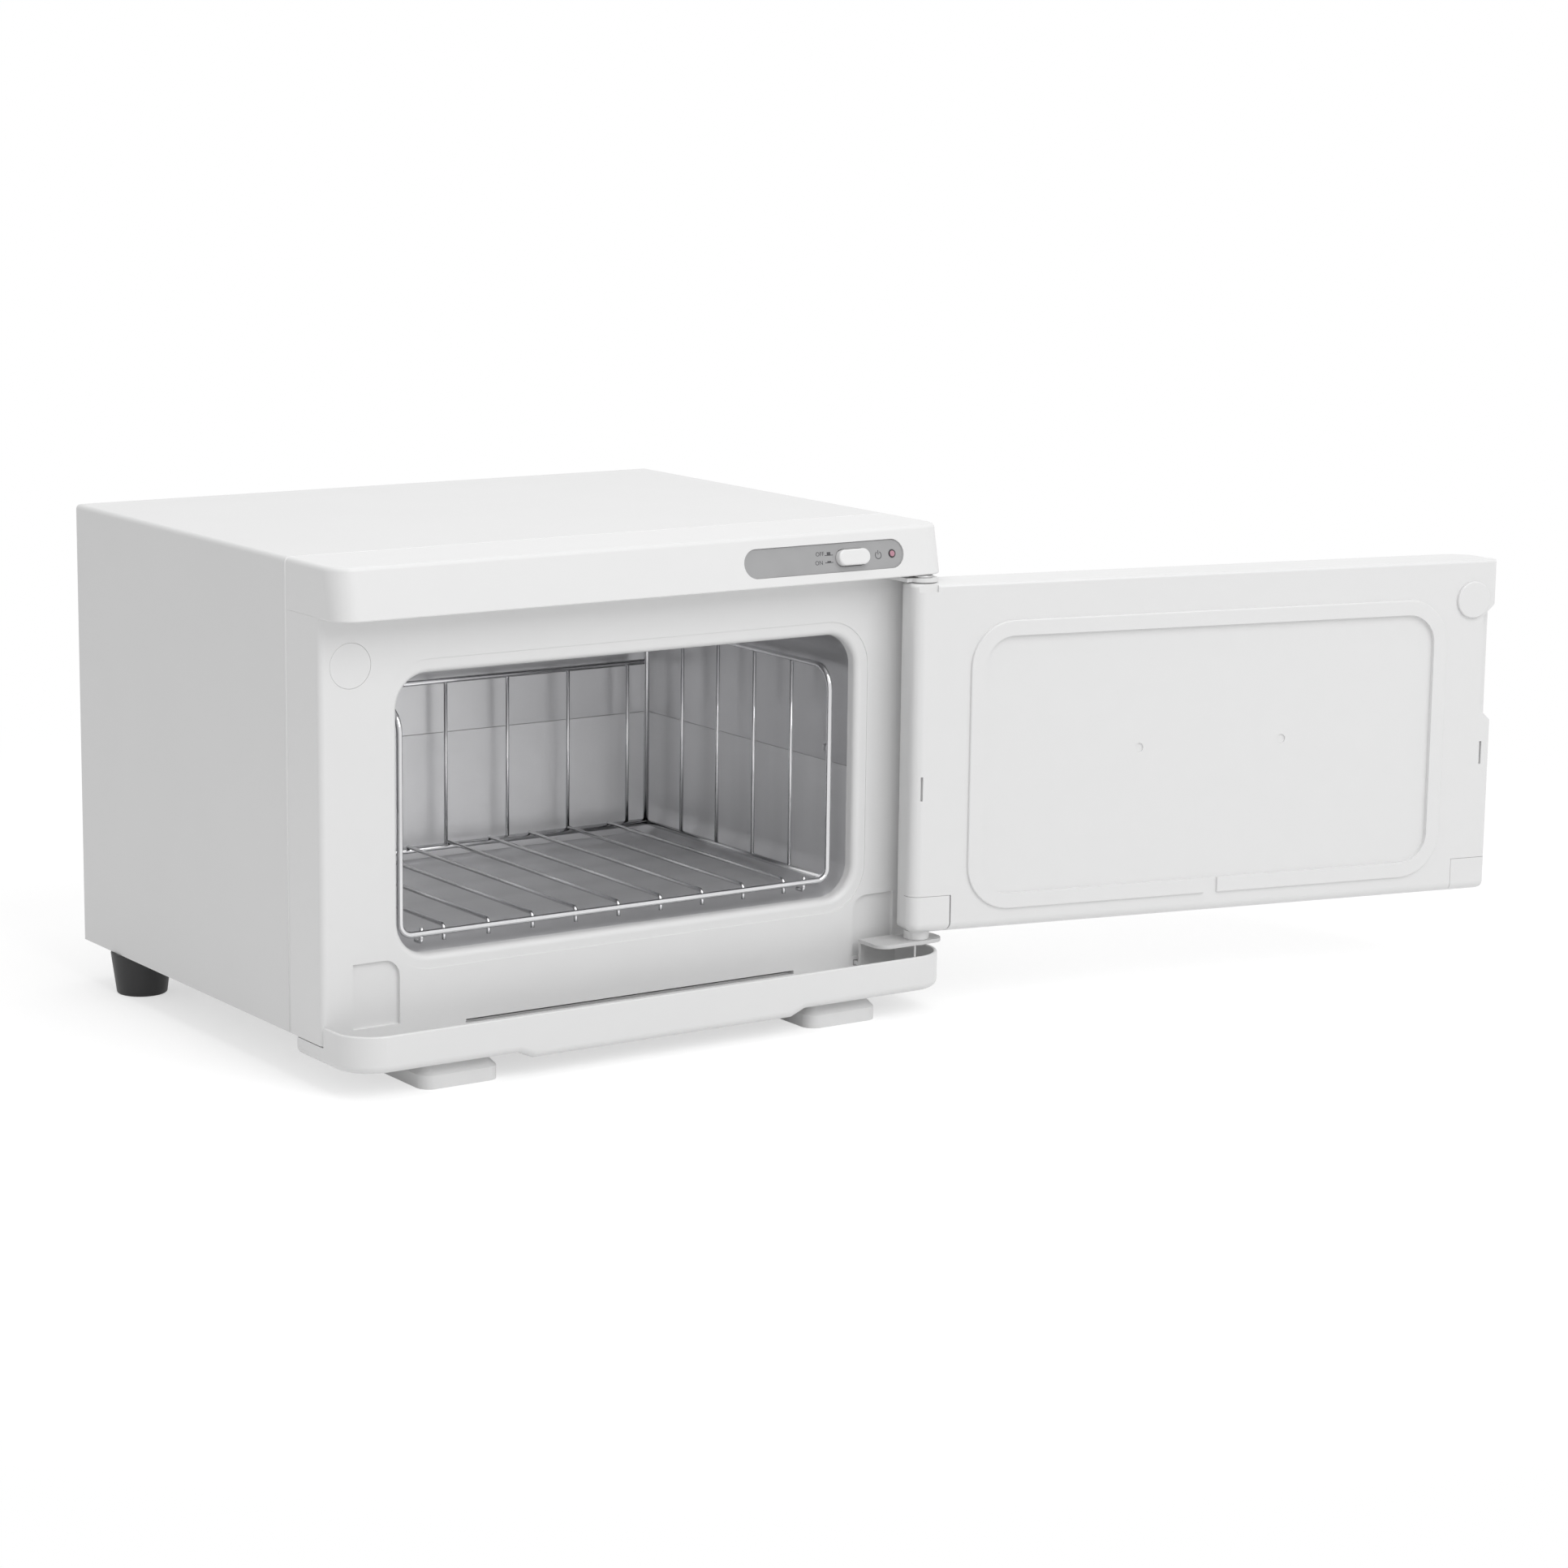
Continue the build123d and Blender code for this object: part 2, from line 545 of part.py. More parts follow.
# Top fascia: hollow moulding with a sloping front that carries the controls.
with BuildPart() as top_fascia:
    with BuildSketch(Plane.YZ):
        Polygon(
            (SEAM_Y, FASCIA_Z),
            (FASCIA_LOW_Y, FASCIA_Z),
            (FASCIA_TOP_Y, BODY_H),
            (SEAM_Y, BODY_H),
            align=None,
        )
    extrude(amount=HALF_W, both=True)
    upright_edges = edges().filter_by(lambda e: abs((e @ 0).Z - (e @ 1).Z) > FASCIA_H / 2)
    fillet(upright_edges.filter_by(lambda e: e.center().Y < FACE_Y), FASCIA_CORNER_R)
    top_edges = faces().sort_by(Axis.Z)[-1].edges().filter_by(lambda e: e.center().Y < SEAM_Y - 1)
    fillet(top_edges, BEND_R)
    low_edges = faces().sort_by(Axis.Z)[0].edges().filter_by(lambda e: e.center().Y < FASCIA_TOP_Y + BEND_R)
    fillet(low_edges, FASCIA_LIP_R)
    with BuildSketch(Plane.YZ):
        Polygon(
            (SEAM_Y, FASCIA_Z + FASCIA_WALL),
            (FASCIA_LOW_Y + FASCIA_WALL + FASCIA_WALL * FASCIA_SLOPE, FASCIA_Z + FASCIA_WALL),
            (FASCIA_TOP_Y + FASCIA_WALL - FASCIA_WALL * FASCIA_SLOPE, BODY_H - FASCIA_WALL),
            (SEAM_Y, BODY_H - FASCIA_WALL),
            align=None,
        )
    extrude(amount=HALF_W - FASCIA_CORNER_R, both=True, mode=Mode.SUBTRACT)
    with BuildSketch(Plane.YZ):
        with Locations(((SEAM_Y + FASCIA_TOP_Y + FASCIA_CORNER_R) / 2, (FASCIA_Z + BODY_H) / 2)):
            Rectangle(SEAM_Y - FASCIA_TOP_Y - FASCIA_CORNER_R, BODY_H - FASCIA_Z - 2 * FASCIA_WALL)
    extrude(amount=HALF_W - FASCIA_WALL, both=True, mode=Mode.SUBTRACT)
    with BuildSketch(CONTROLS.offset(-FASCIA_WALL / 2)):
        with Locations(*[(x, 0) for x in BOSS_XS]):
            Circle(BOSS_R)
    extrude(amount=FASCIA_WALL / 2 - BOARD_IN)
    with BuildSketch(CONTROLS.offset(-BOARD_IN)):
        with Locations(*[(x, 0) for x in BOSS_XS]):
            Circle(SCREW_HOLE_R)
    extrude(amount=BOARD_SCREW_L, mode=Mode.SUBTRACT)
    with BuildSketch(CONTROLS):
        SlotOverall(PLATE_L, PLATE_W)
    extrude(amount=-PLATE_T - PLATE_SUNK, mode=Mode.SUBTRACT)
    with BuildSketch(CONTROLS):
        with Locations((BUTTON_X, BUTTON_UP)):
            SlotOverall(BUTTON_L + 2 * BUTTON_GAP, BUTTON_W + 2 * BUTTON_GAP)
        with Locations((LED_X, 0)):
            Circle(BEZEL_R)
    extrude(amount=-FASCIA_WALL - CUT_GAP, mode=Mode.SUBTRACT)
    with BuildSketch(Plane.XY.offset(FASCIA_Z)):
        with Locations((TOP_PLATE_X, TOP_BRACKET_BACK)):
            Rectangle(TOP_PLATE_W, TOP_BRACKET_BACK - TOP_PAD_FRONT, align=(Align.MIN, Align.MAX))
    extrude(amount=TOP_BRACKET_LOW + BRACKET_T - FASCIA_Z)
    with BuildSketch(Plane.XY.offset(TOP_BRACKET_LOW + BRACKET_T)):
        with Locations(*[(x, TOP_SCREW_Y) for x in TOP_SCREW_XS]):
            Circle(SCREW_HOLE_R)
    extrude(amount=SCREW_L, mode=Mode.SUBTRACT)
top_fascia.part.label = "top_fascia"
export_step(top_fascia.part, "parts/top_fascia.step")

# ================= controls =================

# Grey inlay plate sunk in the fascia front.
with BuildPart() as control_plate:
    with BuildSketch(CONTROLS.offset(-PLATE_SUNK)):
        SlotOverall(PLATE_L - 2 * PLATE_GAP, PLATE_W - 2 * PLATE_GAP)
        with Locations((BUTTON_X, BUTTON_UP)):
            SlotOverall(BUTTON_L + 2 * BUTTON_GAP, BUTTON_W + 2 * BUTTON_GAP, mode=Mode.SUBTRACT)
        with Locations((LED_X, 0)):
            Circle(BEZEL_R, mode=Mode.SUBTRACT)
    extrude(amount=-PLATE_T)
control_plate.part.label = "control_plate"
export_step(control_plate.part, "parts/control_plate.step")

# Power button: pill cap, retaining flange behind the wall and a stem into the switch.
with BuildPart() as power_button:
    with BuildSketch(CONTROLS.offset(BUTTON_OUT)):
        with Locations((BUTTON_X, BUTTON_UP)):
            SlotOverall(BUTTON_L, BUTTON_W)
    extrude(amount=-BUTTON_OUT - FLANGE_IN)
    fillet(faces().sort_by(Axis.Y)[0].edges(), BUTTON_EDGE_R)
    with BuildSketch(CONTROLS.offset(-FLANGE_IN)):
        with Locations((BUTTON_X, BUTTON_UP)):
            SlotOverall(BUTTON_L + 2 * BUTTON_FLANGE, BUTTON_W + 2 * BUTTON_FLANGE)
    extrude(amount=-FLANGE_T)
    with BuildSketch(CONTROLS.offset(-FLANGE_IN)):
        with Locations((BUTTON_X, BUTTON_UP)):
            Circle(STEM_R)
    extrude(amount=FLANGE_IN - STEM_END)
power_button.part.label = "power_button"
export_step(power_button.part, "parts/power_button.step")

# Latching push switch on the control board.
with BuildPart() as push_switch:
    with BuildSketch(CONTROLS.offset(-SWITCH_FRONT)):
        with Locations((BUTTON_X, BUTTON_UP)):
            Rectangle(SWITCH_L, SWITCH_W)
    extrude(amount=SWITCH_FRONT - BOARD_IN)
    with BuildSketch(CONTROLS.offset(-SWITCH_FRONT)):
        with Locations((BUTTON_X, BUTTON_UP)):
            Circle(SWITCH_BORE_R)
    extrude(amount=SWITCH_FRONT - SWITCH_BORE_END, mode=Mode.SUBTRACT)
push_switch.part.label = "push_switch"
export_step(push_switch.part, "parts/push_switch.step")

# Dark ring around the indicator.
with BuildPart() as indicator_bezel:
    with BuildSketch(CONTROLS.offset(-PLATE_SUNK + LED_OUT / 2)):
        with Locations((LED_X, 0)):
            Circle(BEZEL_R)
            Circle(LED_R, mode=Mode.SUBTRACT)
    extrude(amount=PLATE_SUNK - LED_OUT / 2 - FASCIA_WALL)
indicator_bezel.part.label = "indicator_bezel"
export_step(indicator_bezel.part, "parts/indicator_bezel.step")

# Red light pipe from the board's diode to the fascia.
with BuildPart() as indicator_lens:
    with BuildSketch(CONTROLS.offset(-PLATE_SUNK + LED_OUT)):
        with Locations((LED_X, 0)):
            Circle(LED_R)
    extrude(amount=PLATE_SUNK - LED_OUT - BOARD_IN + CHIP_T)
indicator_lens.part.label = "indicator_lens"
export_step(indicator_lens.part, "parts/indicator_lens.step")

# Diode chip on the board under the light pipe.
with BuildPart() as indicator_diode:
    with BuildSketch(CONTROLS.offset(-BOARD_IN)):
        with Locations((LED_X, 0)):
            Rectangle(CHIP, CHIP)
    extrude(amount=CHIP_T)
indicator_diode.part.label = "indicator_diode"
export_step(indicator_diode.part, "parts/indicator_diode.step")

# Control board on the fascia's two posts.
with BuildPart() as control_board:
    with BuildSketch(CONTROLS.offset(-BOARD_IN)):
        with Locations((BOARD_X, 0)):
            Rectangle(BOARD_L, BOARD_W)
        with Locations(*[(x, 0) for x in BOSS_XS]):
            Circle(PANEL_HOLE_R, mode=Mode.SUBTRACT)
    extrude(amount=-BOARD_T)
control_board.part.label = "control_board"
export_step(control_board.part, "parts/control_board.step")

# Two screws holding the board on its posts.
with BuildPart() as board_screws:
    with BuildSketch(CONTROLS.offset(-BOARD_IN - BOARD_T)):
        with Locations(*[(x, 0) for x in BOSS_XS]):
            Circle(HEAD_R)
    extrude(amount=-HEAD_H)
    with BuildSketch(CONTROLS.offset(-BOARD_IN - BOARD_T)):
        with Locations(*[(x, 0) for x in BOSS_XS]):
            Circle(SCREW_R)
    extrude(amount=BOARD_SCREW_L)
board_screws.part.label = "board_screws"
export_step(board_screws.part, "parts/board_screws.step")

# ================= heated chamber =================

# Upper half of the chamber liner: pressed aluminium with a front flange.
with BuildPart() as liner_upper:
    with BuildSketch(Plane.XZ.offset(-LINER_FRONT_Y)):
        with Locations((0, (LINER_LOW + LINER_HIGH) / 2)):
            RectangleRounded(
                2 * (LINER_HALF + LINER_T), LINER_HIGH - LINER_LOW + 2 * LINER_T, LINER_R + LINER_T
            )
    extrude(amount=LINER_FRONT_Y - LINER_BACK - LINER_T)
    with BuildSketch(Plane.XZ.offset(-LINER_FRONT_Y)):
        with Locations((0, (LINER_LOW + LINER_HIGH) / 2)):
            RectangleRounded(
                2 * (LINER_HALF + LINER_FLANGE),
                LINER_HIGH - LINER_LOW + 2 * LINER_FLANGE,
                LINER_R + LINER_FLANGE,
            )
    extrude(amount=-LINER_T)
    with BuildSketch(Plane.XZ.offset(-LINER_FRONT_Y)):
        with Locations((0, (LINER_LOW + LINER_HIGH) / 2)):
            RectangleRounded(2 * LINER_HALF, LINER_HIGH - LINER_LOW, LINER_R)
    extrude(amount=LINER_FRONT_Y - LINER_BACK, mode=Mode.SUBTRACT)
    split(bisect_by=Plane.XY.offset(LINER_SEAM), keep=Keep.TOP)
liner_upper.part.label = "liner_upper"
export_step(liner_upper.part, "parts/liner_upper.step")

# Lower half of the chamber liner, meeting the upper one along the side seam.
with BuildPart() as liner_lower:
    with BuildSketch(Plane.XZ.offset(-LINER_FRONT_Y)):
        with Locations((0, (LINER_LOW + LINER_HIGH) / 2)):
            RectangleRounded(
                2 * (LINER_HALF + LINER_T), LINER_HIGH - LINER_LOW + 2 * LINER_T, LINER_R + LINER_T
            )
    extrude(amount=LINER_FRONT_Y - LINER_BACK - LINER_T)
    with BuildSketch(Plane.XZ.offset(-LINER_FRONT_Y)):
        with Locations((0, (LINER_LOW + LINER_HIGH) / 2)):
            RectangleRounded(
                2 * (LINER_HALF + LINER_FLANGE),
                LINER_HIGH - LINER_LOW + 2 * LINER_FLANGE,
                LINER_R + LINER_FLANGE,
            )
    extrude(amount=-LINER_T)
    with BuildSketch(Plane.XZ.offset(-LINER_FRONT_Y)):
        with Locations((0, (LINER_LOW + LINER_HIGH) / 2)):
            RectangleRounded(2 * LINER_HALF, LINER_HIGH - LINER_LOW, LINER_R)
    extrude(amount=LINER_FRONT_Y - LINER_BACK, mode=Mode.SUBTRACT)
    split(bisect_by=Plane.XY.offset(LINER_SEAM), keep=Keep.BOTTOM)
liner_lower.part.label = "liner_lower"
export_step(liner_lower.part, "parts/liner_lower.step")

# Flat heater pad on the liner's rear wall.
with BuildPart() as heater_pad:
    with BuildSketch(Plane.XZ.offset(-LINER_BACK - LINER_T)):
        with Locations((0, (HEATER_LOW + HEATER_HIGH) / 2)):
            Rectangle(2 * HEATER_HALF, HEATER_HIGH - HEATER_LOW)
    extrude(amount=-HEATER_T)
heater_pad.part.label = "heater_pad"
export_step(heater_pad.part, "parts/heater_pad.step")

# Disc thermostat bonded to the liner's rear wall.
with BuildPart() as thermostat:
    with BuildSketch(Plane.XZ.offset(-LINER_BACK - LINER_T)):
        with Locations((STAT_X, STAT_Z)):
            Circle(STAT_R)
    extrude(amount=-STAT_L)
thermostat.part.label = "thermostat"
export_step(thermostat.part, "parts/thermostat.step")

# One-shot thermal fuse beside the thermostat.
with BuildPart() as thermal_fuse:
    with BuildSketch(Plane.YZ.offset(FUSE_X - FUSE_L / 2)):
        with Locations((LINER_BACK + LINER_T + FUSE_R, STAT_Z)):
            Circle(FUSE_R)
    extrude(amount=FUSE_L)
thermal_fuse.part.label = "thermal_fuse"
export_step(thermal_fuse.part, "parts/thermal_fuse.step")

# Insulating jacket around the liner, with a window for the thermostat and fuse.
with BuildPart() as insulation:
    with BuildSketch(Plane.XZ.offset(-WOOL_FRONT_Y)):
        with Locations((0, (LINER_LOW + LINER_HIGH) / 2)):
            RectangleRounded(
                2 * (LINER_HALF + WOOL_T), LINER_HIGH - LINER_LOW + 2 * WOOL_T, LINER_R + WOOL_T
            )
    extrude(amount=WOOL_FRONT_Y - LINER_BACK - WOOL_T)
    with BuildSketch(Plane.XZ.offset(-WOOL_FRONT_Y)):
        with Locations((0, (LINER_LOW + LINER_HIGH) / 2)):
            RectangleRounded(
                2 * (LINER_HALF + LINER_T), LINER_HIGH - LINER_LOW + 2 * LINER_T, LINER_R + LINER_T
            )
    extrude(amount=WOOL_FRONT_Y - LINER_BACK - LINER_T, mode=Mode.SUBTRACT)
    with BuildSketch(Plane.XZ.offset(-LINER_BACK - LINER_T)):
        with Locations((0, (HEATER_LOW + HEATER_HIGH) / 2)):
            Rectangle(2 * HEATER_HALF, HEATER_HIGH - HEATER_LOW)
    extrude(amount=-HEATER_T, mode=Mode.SUBTRACT)
    with BuildSketch(Plane.XZ.offset(-LINER_BACK - LINER_T)):
        with Locations(((FUSE_X + FUSE_L / 2 - STAT_R) / 2, STAT_Z)):
            Rectangle(FUSE_X + FUSE_L / 2 + STAT_R + 2 * WINDOW_GAP, 2 * STAT_R + 2 * WINDOW_GAP)
    extrude(amount=-WOOL_T, mode=Mode.SUBTRACT)
insulation.part.label = "insulation"
export_step(insulation.part, "parts/insulation.step")

# ================= mains inlet =================

# Appliance inlet housing in the rear panel.
with BuildPart() as power_inlet:
    with BuildSketch(Plane.XZ.offset(-BACK_Y)):
        with Locations((INLET_X, INLET_Z)):
            RectangleRounded(INLET_FLANGE_W, INLET_FLANGE_H, BEND_R)
    extrude(amount=-INLET_FLANGE_T)
    with BuildSketch(Plane.XZ.offset(-BACK_Y)):
        with Locations((INLET_X, INLET_Z)):
            Rectangle(INLET_W, INLET_H)
    extrude(amount=INLET_D)
    with BuildSketch(Plane.XZ.offset(-BACK_Y - INLET_FLANGE_T)):
        with Locations((INLET_X, INLET_Z)):
            Rectangle(SOCKET_W, SOCKET_H)
    extrude(amount=SOCKET_D, mode=Mode.SUBTRACT)
    with BuildSketch(Plane.XZ.offset(-BACK_Y)):
        with Locations(*INLET_SCREWS):
            Circle(PANEL_HOLE_R)
    extrude(amount=-INLET_FLANGE_T, mode=Mode.SUBTRACT)
power_inlet.part.label = "power_inlet"
export_step(power_inlet.part, "parts/power_inlet.step")

# Three contact blades in the inlet.
with BuildPart() as inlet_blades:
    with BuildSketch(Plane.XZ.offset(-BACK_Y - INLET_FLANGE_T + SOCKET_D)):
        with Locations(
            (INLET_X - PIN_DX, INLET_Z - PIN_DZ / 2),
            (INLET_X + PIN_DX, INLET_Z - PIN_DZ / 2),
            (INLET_X, INLET_Z + PIN_DZ / 2),
        ):
            Rectangle(PIN_W, PIN_H)
    extrude(amount=-PIN_L)
inlet_blades.part.label = "inlet_blades"
export_step(inlet_blades.part, "parts/inlet_blades.step")

# Two screws holding the inlet.
with BuildPart() as inlet_screws:
    with BuildSketch(Plane.XZ.offset(-BACK_Y - INLET_FLANGE_T)):
        with Locations(*INLET_SCREWS):
            Circle(HEAD_R)
    extrude(amount=-HEAD_H)
    with BuildSketch(Plane.XZ.offset(-BACK_Y - INLET_FLANGE_T)):
        with Locations(*INLET_SCREWS):
            Circle(SCREW_R)
    extrude(amount=SCREW_L)
inlet_screws.part.label = "inlet_screws"
export_step(inlet_screws.part, "parts/inlet_screws.step")

# Ten screws around the rear panel.
with BuildPart() as back_panel_screws:
    with BuildSketch(Plane.XZ.offset(-BACK_Y)):
        with Locations(*REAR_SCREWS):
            Circle(HEAD_R)
    extrude(amount=-HEAD_H)
    with BuildSketch(Plane.XZ.offset(-BACK_Y)):
        with Locations(*REAR_SCREWS):
            Circle(SCREW_R)
    extrude(amount=SCREW_L)
back_panel_screws.part.label = "back_panel_screws"
export_step(back_panel_screws.part, "parts/back_panel_screws.step")

# Terminal block on the base plate, where the inlet, switch and heater leads meet.
with BuildPart() as terminal_block:
    with BuildSketch(Plane.XY.offset(BASE_T)):
        with Locations((BLOCK_X, BLOCK_Y)):
            Rectangle(BLOCK_L, BLOCK_W)
    extrude(amount=BLOCK_H)
terminal_block.part.label = "terminal_block"
export_step(terminal_block.part, "parts/terminal_block.step")

# Three leads from the inlet's rear to the terminal block.
with BuildPart() as mains_leads:
    for step in (-1, 0, 1):
        start = Vector(INLET_X + step * LEAD_PITCH, PANEL_Y + SHEET - INLET_D, INLET_Z)
        end = Vector(BLOCK_X - BLOCK_L / 2, BLOCK_Y + step * LEAD_PITCH, BASE_T + BLOCK_H / 2)
        with BuildLine() as mains_route:
            Spline(
                start,
                start + Vector(0, (step - 2) * LEAD_PITCH, (step - 2) * LEAD_PITCH / 2),
                end - Vector(LEAD_RUN, 0, -LEAD_PITCH),
                end,
                tangents=[(0, -1, 0), (1, 0, 0)],
            )
        with BuildSketch(Plane(origin=start, z_dir=(0, -1, 0))):
            Circle(LEAD_R)
        sweep(path=mains_route.line)
mains_leads.part.label = "mains_leads"
export_step(mains_leads.part, "parts/mains_leads.step")

# Two leads from the terminal block to the thermostat and the thermal fuse.
with BuildPart() as heater_leads:
    for target_x, target_y in ((STAT_X, STAT_L), (FUSE_X, 2 * FUSE_R)):
        target = Vector(target_x, LINER_BACK + LINER_T + target_y, STAT_Z)
        start = Vector(BLOCK_X + target.X / 2, BLOCK_Y - LEAD_PITCH, BASE_T + BLOCK_H)
        with BuildLine() as heater_route:
            Spline(
                start,
                Vector(target.X, start.Y - LEAD_PITCH, target.Z - LEAD_PITCH),
                target,
                tangents=[(0, 0, 1), (0, -1, 0)],
            )
        with BuildSketch(Plane(origin=start, z_dir=(0, 0, 1))):
            Circle(LEAD_R)
        sweep(path=heater_route.line)
heater_leads.part.label = "heater_leads"
export_step(heater_leads.part, "parts/heater_leads.step")

# Two leads from the terminal block up behind the jacket and forward to the board.
with BuildPart() as switch_leads:
    for step in (-1, 1):
        start = Vector(BLOCK_X + step * LEAD_PITCH, BLOCK_Y, BASE_T + BLOCK_H)
        board_back = CONTROLS.offset(-BOARD_IN - BOARD_T)
        end = board_back.from_local_coords(Vector(BOARD_X + step * LEAD_PITCH, 0, 0))
        crest = FASCIA_Z + FASCIA_WALL + LEAD_PITCH
        with BuildLine() as switch_route:
            Spline(
                start,
                Vector(start.X, BLOCK_Y, crest / 2),
                Vector(start.X, BLOCK_Y, crest - 3 * LEAD_RUN),
                Vector(start.X, BLOCK_Y - LEAD_RUN, crest - LEAD_RUN),
                Vector(start.X + LEAD_PITCH, BLOCK_Y - 3 * LEAD_RUN, crest),
                Vector((start.X + end.X) / 2, 0, crest),
                Vector(end.X - LEAD_PITCH, SEAM_Y + LEAD_RUN, crest),
                end,
                tangents=[(0, 0, 1), FASCIA_NORMAL],
            )
        with BuildSketch(Plane(origin=start, z_dir=(0, 0, 1))):
            Circle(LEAD_R)
        sweep(path=switch_route.line)
switch_leads.part.label = "switch_leads"
export_step(switch_leads.part, "parts/switch_leads.step")

# ================= wire basket =================

# Left grille of the basket: end and top wires, four thin uprights, two feet.
with BuildPart() as basket_left:
    with BuildSketch(Plane.XZ.offset(-BASKET_FRONT_Y)):
        with Locations((-BASKET_HALF, BASKET_SIDE_TOP), (-BASKET_HALF, BASKET_LOW)):
            Circle(FRAME_WIRE_R)
    extrude(amount=BASKET_FRONT_Y - SIDE_END_Y)
    with BuildSketch(Plane.XY.offset(BASKET_FOOT)):
        with Locations(*[(-BASKET_HALF, y) for y in SIDE_POST_YS]):
            Circle(WIRE_R)
    extrude(amount=BASKET_SIDE_TOP - BASKET_FOOT)
    with BuildSketch(Plane.XY.offset(BASKET_LOW)):
        with Locations(*[(-BASKET_HALF, y) for y in SIDE_WIRE_YS]):
            Circle(WIRE_R)
    extrude(amount=BASKET_SIDE_TOP - BASKET_LOW)
basket_left.part.label = "basket_left"
export_step(basket_left.part, "parts/basket_left.step")

# Right grille of the basket.
with BuildPart() as basket_right:
    with BuildSketch(Plane.XZ.offset(-BASKET_FRONT_Y)):
        with Locations((BASKET_HALF, BASKET_SIDE_TOP), (BASKET_HALF, BASKET_LOW)):
            Circle(FRAME_WIRE_R)
    extrude(amount=BASKET_FRONT_Y - SIDE_END_Y)
    with BuildSketch(Plane.XY.offset(BASKET_FOOT)):
        with Locations(*[(BASKET_HALF, y) for y in SIDE_POST_YS]):
            Circle(WIRE_R)
    extrude(amount=BASKET_SIDE_TOP - BASKET_FOOT)
    with BuildSketch(Plane.XY.offset(BASKET_LOW)):
        with Locations(*[(BASKET_HALF, y) for y in SIDE_WIRE_YS]):
            Circle(WIRE_R)
    extrude(amount=BASKET_SIDE_TOP - BASKET_LOW)
basket_right.part.label = "basket_right"
export_step(basket_right.part, "parts/basket_right.step")

# Rear grille of the basket, welded behind the side grilles.
with BuildPart() as basket_back:
    with BuildSketch(Plane.YZ.offset(-BASKET_HALF)):
        with Locations((BASKET_BACK_Y, BASKET_BACK_TOP), (BASKET_BACK_Y, BASKET_LOW)):
            Circle(FRAME_WIRE_R)
    extrude(amount=2 * BASKET_HALF)
    with BuildSketch(Plane.XY.offset(BASKET_LOW)):
        with Locations(*[(x, BASKET_BACK_Y) for x in BACK_WIRE_XS]):
            Circle(WIRE_R)
    extrude(amount=BASKET_BACK_TOP - BASKET_LOW)
basket_back.part.label = "basket_back"
export_step(basket_back.part, "parts/basket_back.step")

# Floor grille of the basket, between the side grilles.
with BuildPart() as basket_floor:
    with BuildSketch(Plane.YZ.offset(-BASKET_HALF + FRAME_WIRE_R)):
        with Locations((FLOOR_FRONT_Y, BASKET_LOW), (BASKET_BACK_Y - 2 * FRAME_WIRE_R, BASKET_LOW)):
            Circle(FRAME_WIRE_R)
    extrude(amount=2 * (BASKET_HALF - FRAME_WIRE_R))
    with BuildSketch(Plane.XZ.offset(-FLOOR_FRONT_Y)):
        with Locations(*[(x, BASKET_LOW) for x in FLOOR_WIRE_XS]):
            Circle(WIRE_R)
    extrude(amount=FLOOR_FRONT_Y - BASKET_BACK_Y + 2 * FRAME_WIRE_R)
basket_floor.part.label = "basket_floor"
export_step(basket_floor.part, "parts/basket_floor.step")

# ================= door (modelled closed) =================

